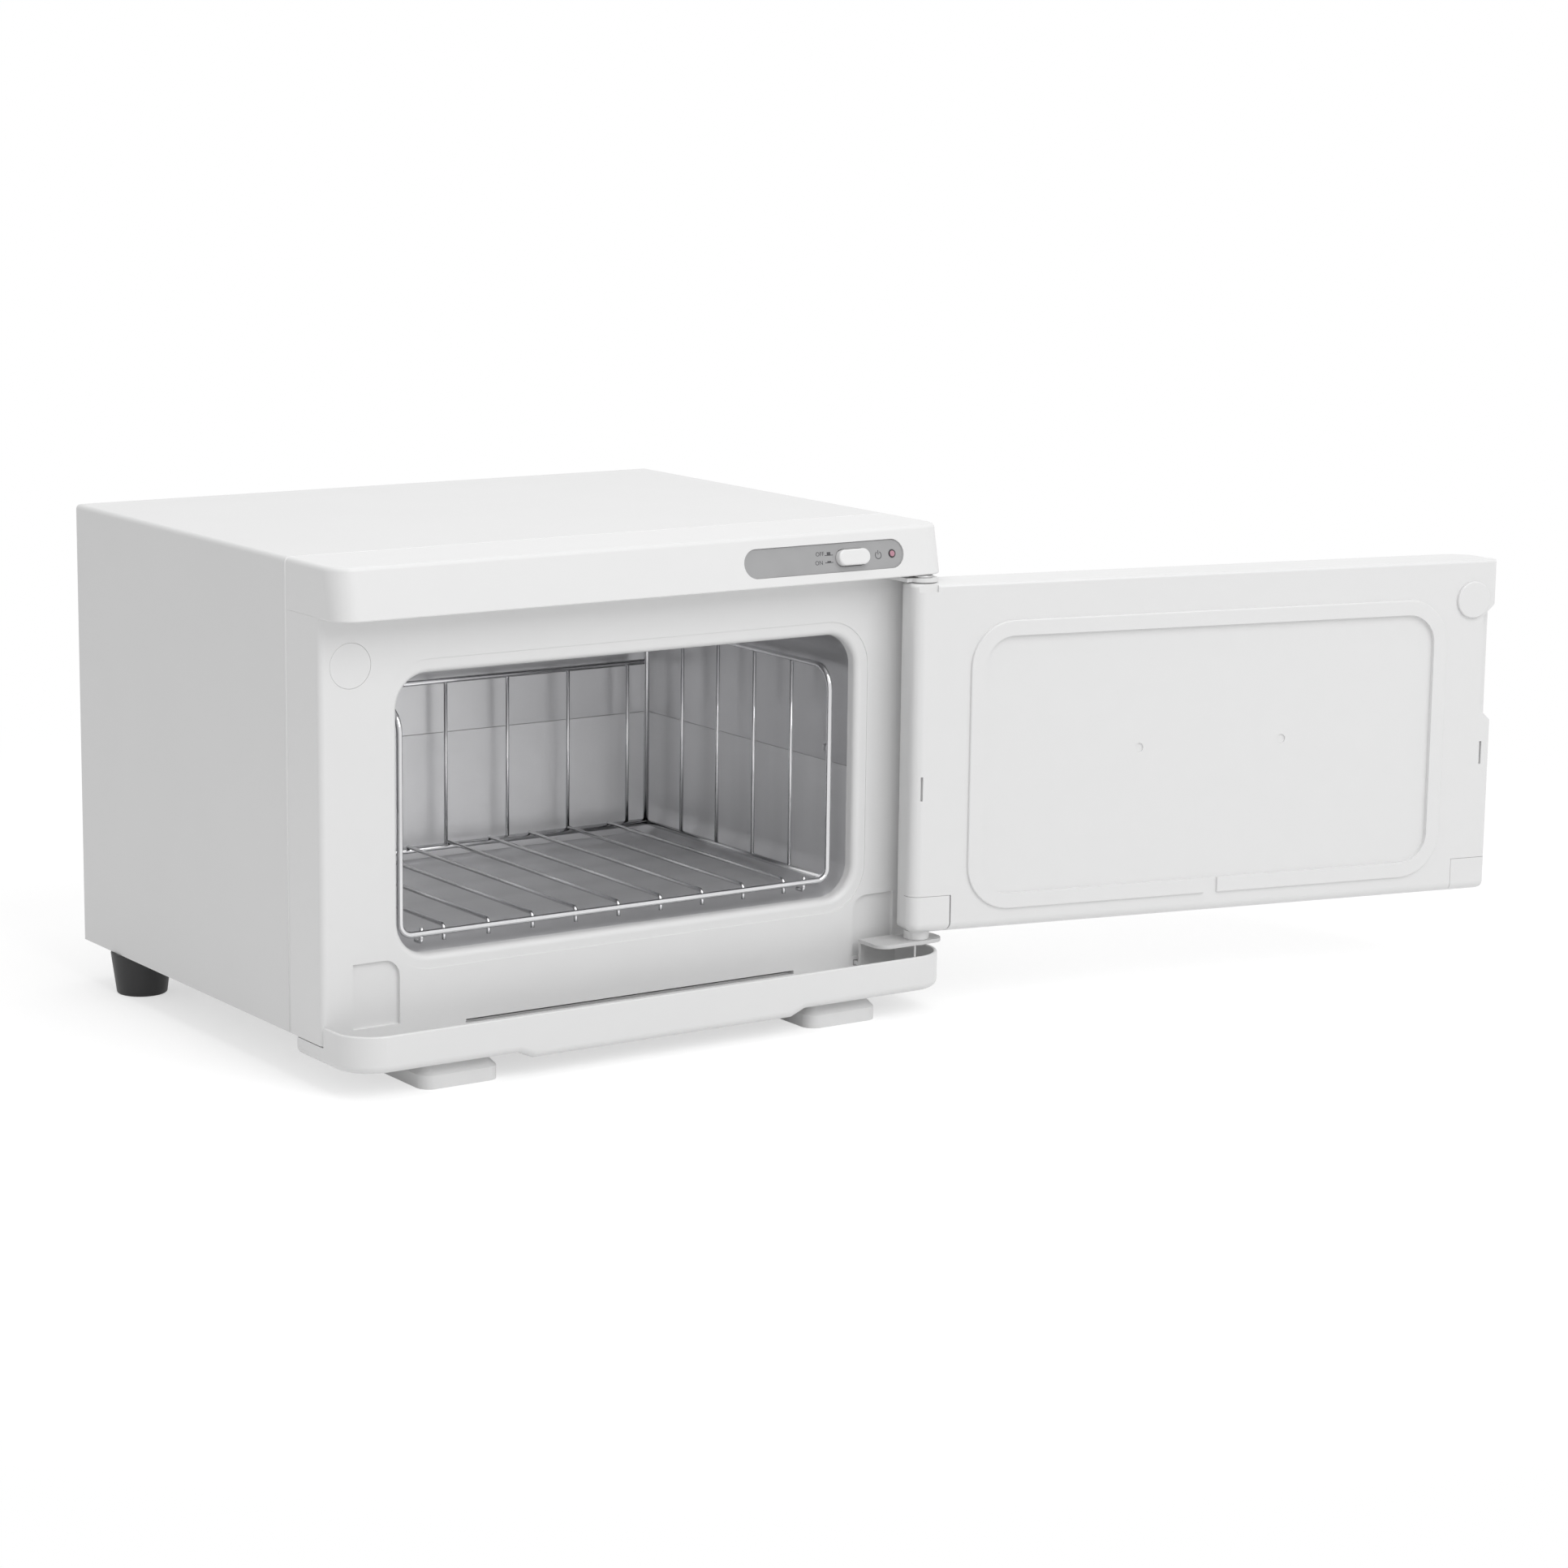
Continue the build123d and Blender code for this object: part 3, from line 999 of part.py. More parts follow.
# Outer door shell: rounded front corners, hinge bosses at both ends of the axis.
with BuildPart() as door_shell:
    with BuildSketch(Plane.XY.offset(DOOR_LOW)):
        with Locations(((DOOR_FAR_X + DOOR_NEAR_X) / 2, DOOR_IN_Y - DOOR_T / 2)):
            Rectangle(DOOR_NEAR_X - DOOR_FAR_X, DOOR_T)
        fillet(vertices().group_by(Axis.Y)[0], DOOR_CORNER_R)
    extrude(amount=DOOR_HIGH - DOOR_LOW)
    split(bisect_by=Plane.XZ.offset(DOOR_SPLIT - DOOR_IN_Y), keep=Keep.TOP)
    front_edges = edges().filter_by(lambda e: e.center().Y < DOOR_IN_Y - DOOR_SPLIT - SHEET)
    fillet(front_edges.filter_by(lambda e: abs((e @ 0).Z - (e @ 1).Z) < SHEET), DOOR_EDGE_R)
    with BuildSketch(Plane.XY.offset(DOOR_LOW + DOOR_WALL)):
        with Locations(((DOOR_FAR_X + DOOR_NEAR_X) / 2, DOOR_IN_Y - DOOR_T / 2 + DOOR_WALL / 2)):
            Rectangle(DOOR_NEAR_X - DOOR_FAR_X - 2 * DOOR_WALL, DOOR_T - DOOR_WALL)
        fillet(vertices().group_by(Axis.Y)[0], DOOR_CORNER_R - DOOR_WALL)
    extrude(amount=DOOR_HIGH - DOOR_LOW - 2 * DOOR_WALL, mode=Mode.SUBTRACT)
    with BuildSketch(Plane.XY.offset(DOOR_LOW + SHEET)):
        with Locations((HINGE_X, HINGE_Y)):
            Rectangle(2 * BOSS_HALF, 2 * BOSS_HALF)
        with Locations((DOOR_NEAR_X - DOOR_CORNER_R, DOOR_IN_Y - DOOR_T + DOOR_CORNER_R)):
            Circle(DOOR_CORNER_R - SHEET, mode=Mode.INTERSECT)
    extrude(amount=LOW_BOSS_TOP - DOOR_LOW - SHEET)
    with BuildSketch(Plane.XY.offset(HIGH_BOSS_LOW)):
        with Locations((HINGE_X, HINGE_Y)):
            Rectangle(2 * BOSS_HALF, 2 * BOSS_HALF)
        with Locations((DOOR_NEAR_X - DOOR_CORNER_R, DOOR_IN_Y - DOOR_T + DOOR_CORNER_R)):
            Circle(DOOR_CORNER_R - SHEET, mode=Mode.INTERSECT)
    extrude(amount=DOOR_HIGH - HIGH_BOSS_LOW - SHEET)
    split(bisect_by=Plane.XZ.offset(DOOR_SPLIT - DOOR_IN_Y), keep=Keep.TOP)
    with BuildSketch(Plane.XZ.offset(DOOR_SPLIT - DOOR_IN_Y)):
        with Locations((DOOR_FAR_X + BEND_R / 2 + GRIP_SHELF_IN / 2, (GRIP_LOW + GRIP_HIGH) / 2)):
            Rectangle(GRIP_SHELF_IN - SHEET / 2, GRIP_HIGH - GRIP_LOW + 2 * GRIP_END)
    extrude(amount=GRIP_SHELF_T)
    with BuildSketch(Plane.XY.offset(DOOR_LOW)):
        with Locations((HINGE_X, HINGE_Y)):
            Circle(BUSH_R)
    extrude(amount=DOOR_HIGH - DOOR_LOW, mode=Mode.SUBTRACT)
    with BuildSketch(Plane.XZ.offset(-DOOR_IN_Y)):
        with Locations((DOOR_FAR_X + DOOR_FOOT_R, DOOR_LOW + DOOR_FOOT_R)):
            Rectangle(DOOR_FOOT_R + SHEET, DOOR_FOOT_R + SHEET, align=Align.MAX)
        with Locations((DOOR_NEAR_X - DOOR_FOOT_R, DOOR_LOW + DOOR_FOOT_R)):
            Rectangle(DOOR_FOOT_R + SHEET, DOOR_FOOT_R + SHEET, align=(Align.MIN, Align.MAX))
        with Locations((DOOR_FAR_X + DOOR_FOOT_R, DOOR_LOW + DOOR_FOOT_R)):
            Circle(DOOR_FOOT_R, mode=Mode.SUBTRACT)
        with Locations((DOOR_NEAR_X - DOOR_FOOT_R, DOOR_LOW + DOOR_FOOT_R)):
            Circle(DOOR_FOOT_R, mode=Mode.SUBTRACT)
    extrude(amount=DOOR_T, mode=Mode.SUBTRACT)
door_shell.part = door_shell.part.rotate(HINGE_AXIS, DOOR_OPEN)
door_shell.part.label = "door_shell"
export_step(door_shell.part, "parts/door_shell.step")

# Inner door panel: raised rim with a drain break, sunk centre, grip and hinge notch.
with BuildPart() as door_panel:
    with BuildSketch(Plane.XY.offset(DOOR_LOW)):
        with Locations(((DOOR_FAR_X + DOOR_NEAR_X) / 2, DOOR_IN_Y - DOOR_T / 2)):
            Rectangle(DOOR_NEAR_X - DOOR_FAR_X, DOOR_T)
        fillet(vertices().group_by(Axis.Y)[0], DOOR_CORNER_R)
        fillet(vertices().group_by(Axis.Y)[-1].sort_by(Axis.X)[-1], DOOR_NEAR_R)
    extrude(amount=DOOR_HIGH - DOOR_LOW)
    split(bisect_by=Plane.XZ.offset(DOOR_SPLIT - DOOR_IN_Y), keep=Keep.BOTTOM)
    fillet(faces().sort_by(Axis.Y)[-1].edges().sort_by(Axis.Z)[:1], DOOR_FOOT_R)
    inner_edges = faces().sort_by(Axis.Y)[-1].edges()
    fillet(inner_edges.sort_by(Axis.X)[:1] + inner_edges.sort_by(Axis.Z)[-1:], DOOR_INNER_R)
    with BuildSketch(Plane.XZ.offset(DOOR_SPLIT - DOOR_IN_Y)):
        with Locations((DOOR_FAR_X + GRIP_SHELF_IN, DOOR_LOW + DOOR_FACE_T)):
            Rectangle(
                DOOR_NEAR_X - DOOR_FACE_T - DOOR_FAR_X - GRIP_SHELF_IN,
                DOOR_HIGH - DOOR_LOW - 2 * DOOR_FACE_T,
                align=Align.MIN,
            )
    extrude(amount=DOOR_FACE_T - DOOR_SPLIT, mode=Mode.SUBTRACT)
    with BuildSketch(Plane.XZ.offset(-DOOR_IN_Y)):
        with Locations((0, (RIM_LOW + RIM_HIGH) / 2)):
            RectangleRounded(2 * RIM_HALF, RIM_HIGH - RIM_LOW, RIM_R)
    extrude(amount=-RIM_H)
    fillet(faces().sort_by(Axis.Y)[-1].edges(), RIM_H / 2)
    with BuildSketch(Plane.XZ.offset(PANEL_SUNK - DOOR_IN_Y)):
        with Locations((0, (RIM_LOW + RIM_HIGH) / 2)):
            RectangleRounded(2 * (RIM_HALF - RIM_W), RIM_HIGH - RIM_LOW - 2 * RIM_W, RIM_R - RIM_W)
    extrude(amount=-RIM_H - PANEL_SUNK, mode=Mode.SUBTRACT)
    with BuildSketch(Plane.XZ.offset(-DOOR_IN_Y)):
        with Locations((RIM_BREAK_X, RIM_LOW + RIM_W / 2)):
            Rectangle(RIM_BREAK_W, RIM_W + SHEET)
    extrude(amount=-RIM_H, mode=Mode.SUBTRACT)
    with BuildSketch(Plane.XZ.offset(PANEL_SUNK - DOOR_IN_Y)):
        with Locations((-DIMPLE_X, DIMPLE_Z), (DIMPLE_X, DIMPLE_Z)):
            Circle(DIMPLE_R)
    extrude(amount=DIMPLE_DEEP, mode=Mode.SUBTRACT)
    with BuildSketch(Plane.XZ.offset(-DOOR_IN_Y)):
        with Locations((NEAR_SLOT_X, SLOT_Z), (FAR_SLOT_X, SLOT_Z)):
            Rectangle(SLOT_W, SLOT_L)
    extrude(amount=SLOT_DEEP, mode=Mode.SUBTRACT)
    with BuildSketch(Plane.XZ.offset(-DOOR_IN_Y)):
        with Locations((KEEPER_X, KEEPER_Z)):
            Circle(KEEPER_R + KEEPER_GAP)
    extrude(amount=KEEPER_T, mode=Mode.SUBTRACT)
    with BuildSketch(Plane.XZ.offset(-DOOR_IN_Y)):
        Polygon(
            (DOOR_FAR_X - SHEET, GRIP_LOW - SHEET),
            (DOOR_FAR_X + GRIP_DEEP, GRIP_LOW + GRIP_END),
            (DOOR_FAR_X + GRIP_DEEP, GRIP_HIGH - GRIP_END),
            (DOOR_FAR_X - SHEET, GRIP_HIGH + SHEET),
            align=None,
        )
    extrude(amount=DOOR_SPLIT, mode=Mode.SUBTRACT)
    with BuildSketch(Plane.XZ.offset(-DOOR_IN_Y)):
        with Locations((NOTCH_X, NOTCH_Z)):
            Rectangle(DOOR_NEAR_X, DOOR_HIGH, align=(Align.MIN, Align.MIN))
    extrude(amount=NOTCH_DEEP, mode=Mode.SUBTRACT)
    with BuildSketch(Plane.XZ.offset(-DOOR_IN_Y)):
        with Locations((COVER_FAR_X, COVER_FAR_Z)):
            Rectangle(2 * COVER_FAR_W, 2 * COVER_FAR_H, align=(Align.MAX, Align.MAX))
    extrude(amount=CORNER_COVER_T, mode=Mode.SUBTRACT)
    with BuildSketch(Plane.XZ.offset(-DOOR_IN_Y)):
        with Locations((COVER_NEAR_X, COVER_NEAR_Z)):
            Rectangle(2 * COVER_NEAR_W, COVER_NEAR_H + SHEET, align=(Align.MIN, Align.MAX))
        fillet(vertices().group_by(Axis.Y)[0].sort_by(Axis.X)[0], CORNER_COVER_R)
    extrude(amount=DOOR_SPLIT, mode=Mode.SUBTRACT)
    with BuildSketch(Plane.XZ.offset(-DOOR_IN_Y)):
        with Locations((DOOR_FAR_X + DOOR_FOOT_R, DOOR_LOW + DOOR_FOOT_R)):
            Rectangle(DOOR_FOOT_R + SHEET, DOOR_FOOT_R + SHEET, align=Align.MAX)
            Circle(DOOR_FOOT_R, mode=Mode.SUBTRACT)
    extrude(amount=DOOR_SPLIT, mode=Mode.SUBTRACT)
door_panel.part = door_panel.part.rotate(HINGE_AXIS, DOOR_OPEN)
door_panel.part.label = "door_panel"
export_step(door_panel.part, "parts/door_panel.step")

# Foam core between the door's two mouldings.
with BuildPart() as door_core:
    with BuildSketch(Plane.XY.offset(CORE_LOW)):
        with Locations(((CORE_FAR_X + CORE_NEAR_X) / 2, (CORE_IN_Y + CORE_OUT_Y) / 2)):
            Rectangle(CORE_NEAR_X - CORE_FAR_X, CORE_IN_Y - CORE_OUT_Y)
        fillet(vertices().group_by(Axis.Y)[0], CORE_R)
    extrude(amount=CORE_HIGH - CORE_LOW)
door_core.part = door_core.part.rotate(HINGE_AXIS, DOOR_OPEN)
door_core.part.label = "door_core"
export_step(door_core.part, "parts/door_core.step")

# Steel keeper disc let into the inner panel.
with BuildPart() as door_keeper:
    with BuildSketch(Plane.XZ.offset(-DOOR_IN_Y)):
        with Locations((KEEPER_X, KEEPER_Z)):
            Circle(KEEPER_R)
    extrude(amount=KEEPER_T)
door_keeper.part = door_keeper.part.rotate(HINGE_AXIS, DOOR_OPEN)
door_keeper.part.label = "door_keeper"
export_step(door_keeper.part, "parts/door_keeper.step")

# Round cap over the keeper.
with BuildPart() as keeper_cap:
    with BuildSketch(Plane.XZ.offset(-DOOR_IN_Y)):
        with Locations((KEEPER_X, KEEPER_Z)):
            Circle(KEEPER_CAP_R)
    extrude(amount=-KEEPER_CAP_T)
    fillet(faces().sort_by(Axis.Y)[-1].edges(), KEEPER_CAP_T / 3)
keeper_cap.part = keeper_cap.part.rotate(HINGE_AXIS, DOOR_OPEN)
keeper_cap.part.label = "keeper_cap"
export_step(keeper_cap.part, "parts/keeper_cap.step")

# Flush corner cover on the free side of the door.
with BuildPart() as far_corner_cover:
    with BuildSketch(Plane.XY.offset(DOOR_LOW)):
        with Locations(((DOOR_FAR_X + DOOR_NEAR_X) / 2, DOOR_IN_Y - DOOR_SPLIT / 2)):
            Rectangle(DOOR_NEAR_X - DOOR_FAR_X, DOOR_SPLIT)
    extrude(amount=DOOR_HIGH - DOOR_LOW)
    fillet(faces().sort_by(Axis.Y)[-1].edges().sort_by(Axis.Z)[:1], DOOR_FOOT_R)
    fillet(faces().sort_by(Axis.Y)[-1].edges().sort_by(Axis.X)[:1], DOOR_INNER_R)
    with BuildSketch(Plane.XZ.offset(-DOOR_IN_Y)):
        with Locations((COVER_FAR_X - CORNER_COVER_GAP, COVER_FAR_Z - CORNER_COVER_GAP)):
            Rectangle(2 * COVER_FAR_W, 2 * COVER_FAR_H, align=(Align.MAX, Align.MAX))
    extrude(amount=CORNER_COVER_T, mode=Mode.INTERSECT)
    with BuildSketch(Plane.XZ.offset(-DOOR_IN_Y)):
        with Locations((DOOR_FAR_X + DOOR_FOOT_R, DOOR_LOW + DOOR_FOOT_R)):
            Rectangle(DOOR_FOOT_R + SHEET, DOOR_FOOT_R + SHEET, align=Align.MAX)
            Circle(DOOR_FOOT_R, mode=Mode.SUBTRACT)
    extrude(amount=DOOR_SPLIT, mode=Mode.SUBTRACT)
far_corner_cover.part = far_corner_cover.part.rotate(HINGE_AXIS, DOOR_OPEN)
far_corner_cover.part.label = "far_corner_cover"
export_step(far_corner_cover.part, "parts/far_corner_cover.step")

# Corner cover on the hinge side of the door, wrapped round its rounded end.
with BuildPart() as near_corner_cover:
    with BuildSketch(Plane.XY.offset(DOOR_LOW)):
        with Locations(((DOOR_FAR_X + DOOR_NEAR_X) / 2, DOOR_IN_Y - DOOR_SPLIT / 2)):
            Rectangle(DOOR_NEAR_X - DOOR_FAR_X, DOOR_SPLIT)
        fillet(vertices().group_by(Axis.Y)[-1].sort_by(Axis.X)[-1], DOOR_NEAR_R)
    extrude(amount=DOOR_HIGH - DOOR_LOW)
    fillet(faces().sort_by(Axis.Y)[-1].edges().sort_by(Axis.Z)[:1], DOOR_FOOT_R)
    with BuildSketch(Plane.XZ.offset(-DOOR_IN_Y)):
        with Locations((COVER_NEAR_X + COVER_NEAR_SLOT, COVER_NEAR_Z - CORNER_COVER_GAP)):
            Rectangle(2 * COVER_NEAR_W, COVER_NEAR_H + SHEET, align=(Align.MIN, Align.MAX))
        fillet(vertices().group_by(Axis.Y)[0].sort_by(Axis.X)[0], CORNER_COVER_R)
    extrude(amount=DOOR_SPLIT, mode=Mode.INTERSECT)
    with BuildSketch(Plane.XZ.offset(-DOOR_IN_Y)):
        with Locations((DOOR_NEAR_X - DOOR_FOOT_R, DOOR_LOW + DOOR_FOOT_R)):
            Rectangle(DOOR_FOOT_R + SHEET, DOOR_FOOT_R + SHEET, align=(Align.MIN, Align.MAX))
            Circle(DOOR_FOOT_R, mode=Mode.SUBTRACT)
    extrude(amount=DOOR_SPLIT, mode=Mode.SUBTRACT)
near_corner_cover.part = near_corner_cover.part.rotate(HINGE_AXIS, DOOR_OPEN)
near_corner_cover.part.label = "near_corner_cover"
export_step(near_corner_cover.part, "parts/near_corner_cover.step")

# Two plastic bushes pressed into the door's hinge bosses.
with BuildPart() as hinge_bushes:
    with BuildSketch(Plane.XY.offset(DOOR_LOW)):
        with Locations((HINGE_X, HINGE_Y)):
            Circle(BUSH_R)
            Circle(PIN_R + PIN_PLAY, mode=Mode.SUBTRACT)
    extrude(amount=BUSH_L)
    with BuildSketch(Plane.XY.offset(DOOR_HIGH - BUSH_L)):
        with Locations((HINGE_X, HINGE_Y)):
            Circle(BUSH_R)
            Circle(PIN_R + PIN_PLAY, mode=Mode.SUBTRACT)
    extrude(amount=BUSH_L)
hinge_bushes.part = hinge_bushes.part.rotate(HINGE_AXIS, DOOR_OPEN)
hinge_bushes.part.label = "hinge_bushes"
export_step(hinge_bushes.part, "parts/hinge_bushes.step")

# ================= hinge =================

# Lower hinge bracket: round-ended plate, rear wall and a foot through the frame's slot.
with BuildPart() as lower_hinge_bracket:
    with BuildSketch(Plane.XY.offset(BRACKET_TOP)):
        with Locations((BRACKET_X, HINGE_Y - BRACKET_FRONT)):
            Rectangle(
                HINGE_X + BRACKET_TIP_R - BRACKET_X,
                BRACKET_WALL_Y - HINGE_Y + BRACKET_FRONT,
                align=Align.MIN,
            )
        corners = vertices().group_by(Axis.Y)
        fillet(corners[0] + corners[-1].sort_by(Axis.X)[-1:], BRACKET_CORNER_R)
        with Locations((BRACKET_X, BRACKET_WALL_Y)):
            Rectangle(BRACKET_FOOT_W, BRACKET_T, align=(Align.MIN, Align.MIN))
        with Locations((HINGE_X, HINGE_Y)):
            Circle(PIN_R + PIN_PLAY, mode=Mode.SUBTRACT)
    extrude(amount=-BRACKET_T)
    with BuildSketch(Plane.XY.offset(BRACKET_FOOT_Z)):
        with Locations((BRACKET_X, BRACKET_WALL_Y)):
            Rectangle(BRACKET_FOOT_W, BRACKET_T, align=(Align.MIN, Align.MIN))
    extrude(amount=BRACKET_TOP - BRACKET_FOOT_Z)
    with BuildSketch(Plane.XY.offset(BRACKET_FOOT_Z)):
        with Locations((BRACKET_X, BRACKET_WALL_Y)):
            Rectangle(BRACKET_FOOT_W, BRACKET_FOOT_BACK - BRACKET_WALL_Y, align=(Align.MIN, Align.MIN))
        with Locations(*[(x, BRACKET_SCREW_Y) for x in BRACKET_SCREW_XS]):
            Circle(PANEL_HOLE_R, mode=Mode.SUBTRACT)
    extrude(amount=BRACKET_T)
lower_hinge_bracket.part.label = "lower_hinge_bracket"
export_step(lower_hinge_bracket.part, "parts/lower_hinge_bracket.step")

# Upper hinge bracket: flat plate screwed up against the fascia's pad.
with BuildPart() as upper_hinge_bracket:
    with BuildSketch(Plane.XY.offset(TOP_BRACKET_LOW)):
        with Locations((TOP_PLATE_X, TOP_BRACKET_BACK)):
            Rectangle(TOP_PLATE_W, TOP_BRACKET_BACK - TOP_PLATE_FRONT, align=(Align.MIN, Align.MAX))
        with Locations((HINGE_X, HINGE_Y)):
            Circle(TOP_TIP_R)
            Circle(PIN_R + PIN_PLAY, mode=Mode.SUBTRACT)
        with Locations(*[(x, TOP_SCREW_Y) for x in TOP_SCREW_XS]):
            Circle(PANEL_HOLE_R, mode=Mode.SUBTRACT)
    extrude(amount=BRACKET_T)
    with BuildSketch(Plane.XY.offset(TOP_BRACKET_LOW)):
        with Locations(*[(x, TOP_SCREW_Y) for x in TOP_SCREW_XS]):
            Circle(HEAD_R + PIN_PLAY)
    extrude(amount=PIN_HEAD_T, mode=Mode.SUBTRACT)
upper_hinge_bracket.part.label = "upper_hinge_bracket"
export_step(upper_hinge_bracket.part, "parts/upper_hinge_bracket.step")

# Lower hinge pin with its head under the plate.
with BuildPart() as lower_hinge_pin:
    with BuildSketch(Plane.XY.offset(BRACKET_TOP - BRACKET_T)):
        with Locations((HINGE_X, HINGE_Y)):
            Circle(PIN_R)
    extrude(amount=DOOR_LOW + BUSH_L - BRACKET_TOP + BRACKET_T)
    with BuildSketch(Plane.XY.offset(BRACKET_TOP - BRACKET_T)):
        with Locations((HINGE_X, HINGE_Y)):
            Circle(PIN_HEAD_R)
    extrude(amount=-PIN_HEAD_T)
lower_hinge_pin.part.label = "lower_hinge_pin"
export_step(lower_hinge_pin.part, "parts/lower_hinge_pin.step")

# Upper hinge pin hanging from the upper bracket.
with BuildPart() as upper_hinge_pin:
    with BuildSketch(Plane.XY.offset(TOP_BRACKET_LOW + BRACKET_T)):
        with Locations((HINGE_X, HINGE_Y)):
            Circle(PIN_R)
    extrude(amount=DOOR_HIGH - BUSH_L - TOP_BRACKET_LOW - BRACKET_T)
    with BuildSketch(Plane.XY.offset(TOP_BRACKET_LOW + BRACKET_T)):
        with Locations((HINGE_X, HINGE_Y)):
            Circle(PIN_HEAD_R)
    extrude(amount=PIN_HEAD_T)
upper_hinge_pin.part.label = "upper_hinge_pin"
export_step(upper_hinge_pin.part, "parts/upper_hinge_pin.step")

# White spacer washer the door turns on.
with BuildPart() as hinge_washer:
    with BuildSketch(Plane.XY.offset(BRACKET_TOP)):
        with Locations((HINGE_X, HINGE_Y)):
            Circle(WASHER_R)
            Circle(PIN_R + PIN_PLAY, mode=Mode.SUBTRACT)
    extrude(amount=DOOR_LOW - SLOT_CLEAR - BRACKET_TOP)
hinge_washer.part.label = "hinge_washer"
export_step(hinge_washer.part, "parts/hinge_washer.step")

# Two pan-head screws through the lower bracket's foot.
with BuildPart() as lower_bracket_screws:
    with BuildSketch(Plane.XY.offset(BRACKET_FOOT_Z + BRACKET_T)):
        with Locations(*[(x, BRACKET_SCREW_Y) for x in BRACKET_SCREW_XS]):
            Circle(HEAD_R)
    extrude(amount=HEAD_H)
    with BuildSketch(Plane.XY.offset(BRACKET_FOOT_Z + BRACKET_T)):
        with Locations(*[(x, BRACKET_SCREW_Y) for x in BRACKET_SCREW_XS]):
            Circle(SCREW_R)
    extrude(amount=CUT_GAP - BRACKET_FOOT_Z - BRACKET_T)
lower_bracket_screws.part.label = "lower_bracket_screws"
export_step(lower_bracket_screws.part, "parts/lower_bracket_screws.step")

# Two flush screws holding the upper bracket.
with BuildPart() as upper_bracket_screws:
    with BuildSketch(Plane.XY.offset(TOP_BRACKET_LOW)):
        with Locations(*[(x, TOP_SCREW_Y) for x in TOP_SCREW_XS]):
            Circle(HEAD_R)
    extrude(amount=PIN_HEAD_T)
    with BuildSketch(Plane.XY.offset(TOP_BRACKET_LOW)):
        with Locations(*[(x, TOP_SCREW_Y) for x in TOP_SCREW_XS]):
            Circle(SCREW_R)
    extrude(amount=SCREW_L)
upper_bracket_screws.part.label = "upper_bracket_screws"
export_step(upper_bracket_screws.part, "parts/upper_bracket_screws.step")

# ================= magnet catch =================

# Magnet in the frame's boss.
with BuildPart() as catch_magnet:
    with BuildSketch(Plane.XZ.offset(-FACE_Y - COVER_T)):
        with Locations((MAGNET_X, MAGNET_Z)):
            Circle(MAGNET_R)
    extrude(amount=-MAGNET_T)
catch_magnet.part.label = "catch_magnet"
export_step(catch_magnet.part, "parts/catch_magnet.step")

# Flush disc over the magnet.
with BuildPart() as magnet_cover:
    with BuildSketch(Plane.XZ.offset(-FACE_Y)):
        with Locations((MAGNET_X, MAGNET_Z)):
            Circle(COVER_R)
    extrude(amount=-COVER_T)
magnet_cover.part.label = "magnet_cover"
export_step(magnet_cover.part, "parts/magnet_cover.step")

# ================= drip tray =================

# Drip tray: tall rounded front, low rear under the frame, deeper middle.
with BuildPart() as drip_tray:
    with BuildSketch(Plane.XZ.offset(-TRAY_BACK_Y)):
        Polygon(
            (-HALF_W, TRAY_SIDE_LOW),
            (-TRAY_SLOPE_HALF, TRAY_SIDE_LOW),
            (-TRAY_WELL_HALF, TRAY_WELL_LOW),
            (TRAY_WELL_HALF, TRAY_WELL_LOW),
            (TRAY_SLOPE_HALF, TRAY_SIDE_LOW),
            (HALF_W, TRAY_SIDE_LOW),
            (HALF_W, TRAY_TOP),
            (-HALF_W, TRAY_TOP),
            align=None,
        )
    extrude(amount=TRAY_BACK_Y - TRAY_FRONT_Y)
    fillet(edges().filter_by(Axis.Z).filter_by(lambda e: e.center().Y < TRAY_FRONT_Y + 1), TRAY_CORNER_R)
    front_edges = edges().filter_by(lambda e: e.center().Y < TRAY_FRONT_Y + TRAY_CORNER_R)
    fillet(front_edges.filter_by(lambda e: e.center().Z < TRAY_SIDE_LOW + SHEET), TRAY_FOOT_R)
    with BuildSketch(Plane.XY.offset(TRAY_SIDE_LOW + TRAY_WALL)):
        with Locations((0, (TRAY_FRONT_Y + TRAY_BACK_Y) / 2)):
            Rectangle(BODY_W - 2 * TRAY_WALL, TRAY_BACK_Y - TRAY_FRONT_Y - 2 * TRAY_WALL)
        fillet(vertices().group_by(Axis.Y)[0], TRAY_CORNER_R - TRAY_WALL)
    extrude(amount=TRAY_TOP - TRAY_SIDE_LOW, mode=Mode.SUBTRACT)
    with BuildSketch(Plane.XZ.offset(-TRAY_BACK_Y + TRAY_WALL)):
        Polygon(
            (-TRAY_SLOPE_HALF, TRAY_SIDE_LOW + TRAY_WALL),
            (-TRAY_WELL_HALF, TRAY_WELL_LOW + TRAY_WALL),
            (TRAY_WELL_HALF, TRAY_WELL_LOW + TRAY_WALL),
            (TRAY_SLOPE_HALF, TRAY_SIDE_LOW + TRAY_WALL),
            align=None,
        )
    extrude(amount=TRAY_BACK_Y - TRAY_FRONT_Y - 2 * TRAY_WALL, mode=Mode.SUBTRACT)
    with BuildSketch(Plane.XY.offset(TRAY_REAR_TOP)):
        with Locations((0, TRAY_STEP_Y)):
            Rectangle(BODY_W + SHEET, TRAY_BACK_Y - TRAY_STEP_Y + SHEET, align=(Align.CENTER, Align.MIN))
    extrude(amount=TRAY_TOP - TRAY_REAR_TOP, mode=Mode.SUBTRACT)
    top_rims = edges().group_by(Axis.Z)[-1]
    fillet(top_rims, TRAY_EDGE_R)
drip_tray.part.label = "drip_tray"
export_step(drip_tray.part, "parts/drip_tray.step")

# ================= feet =================

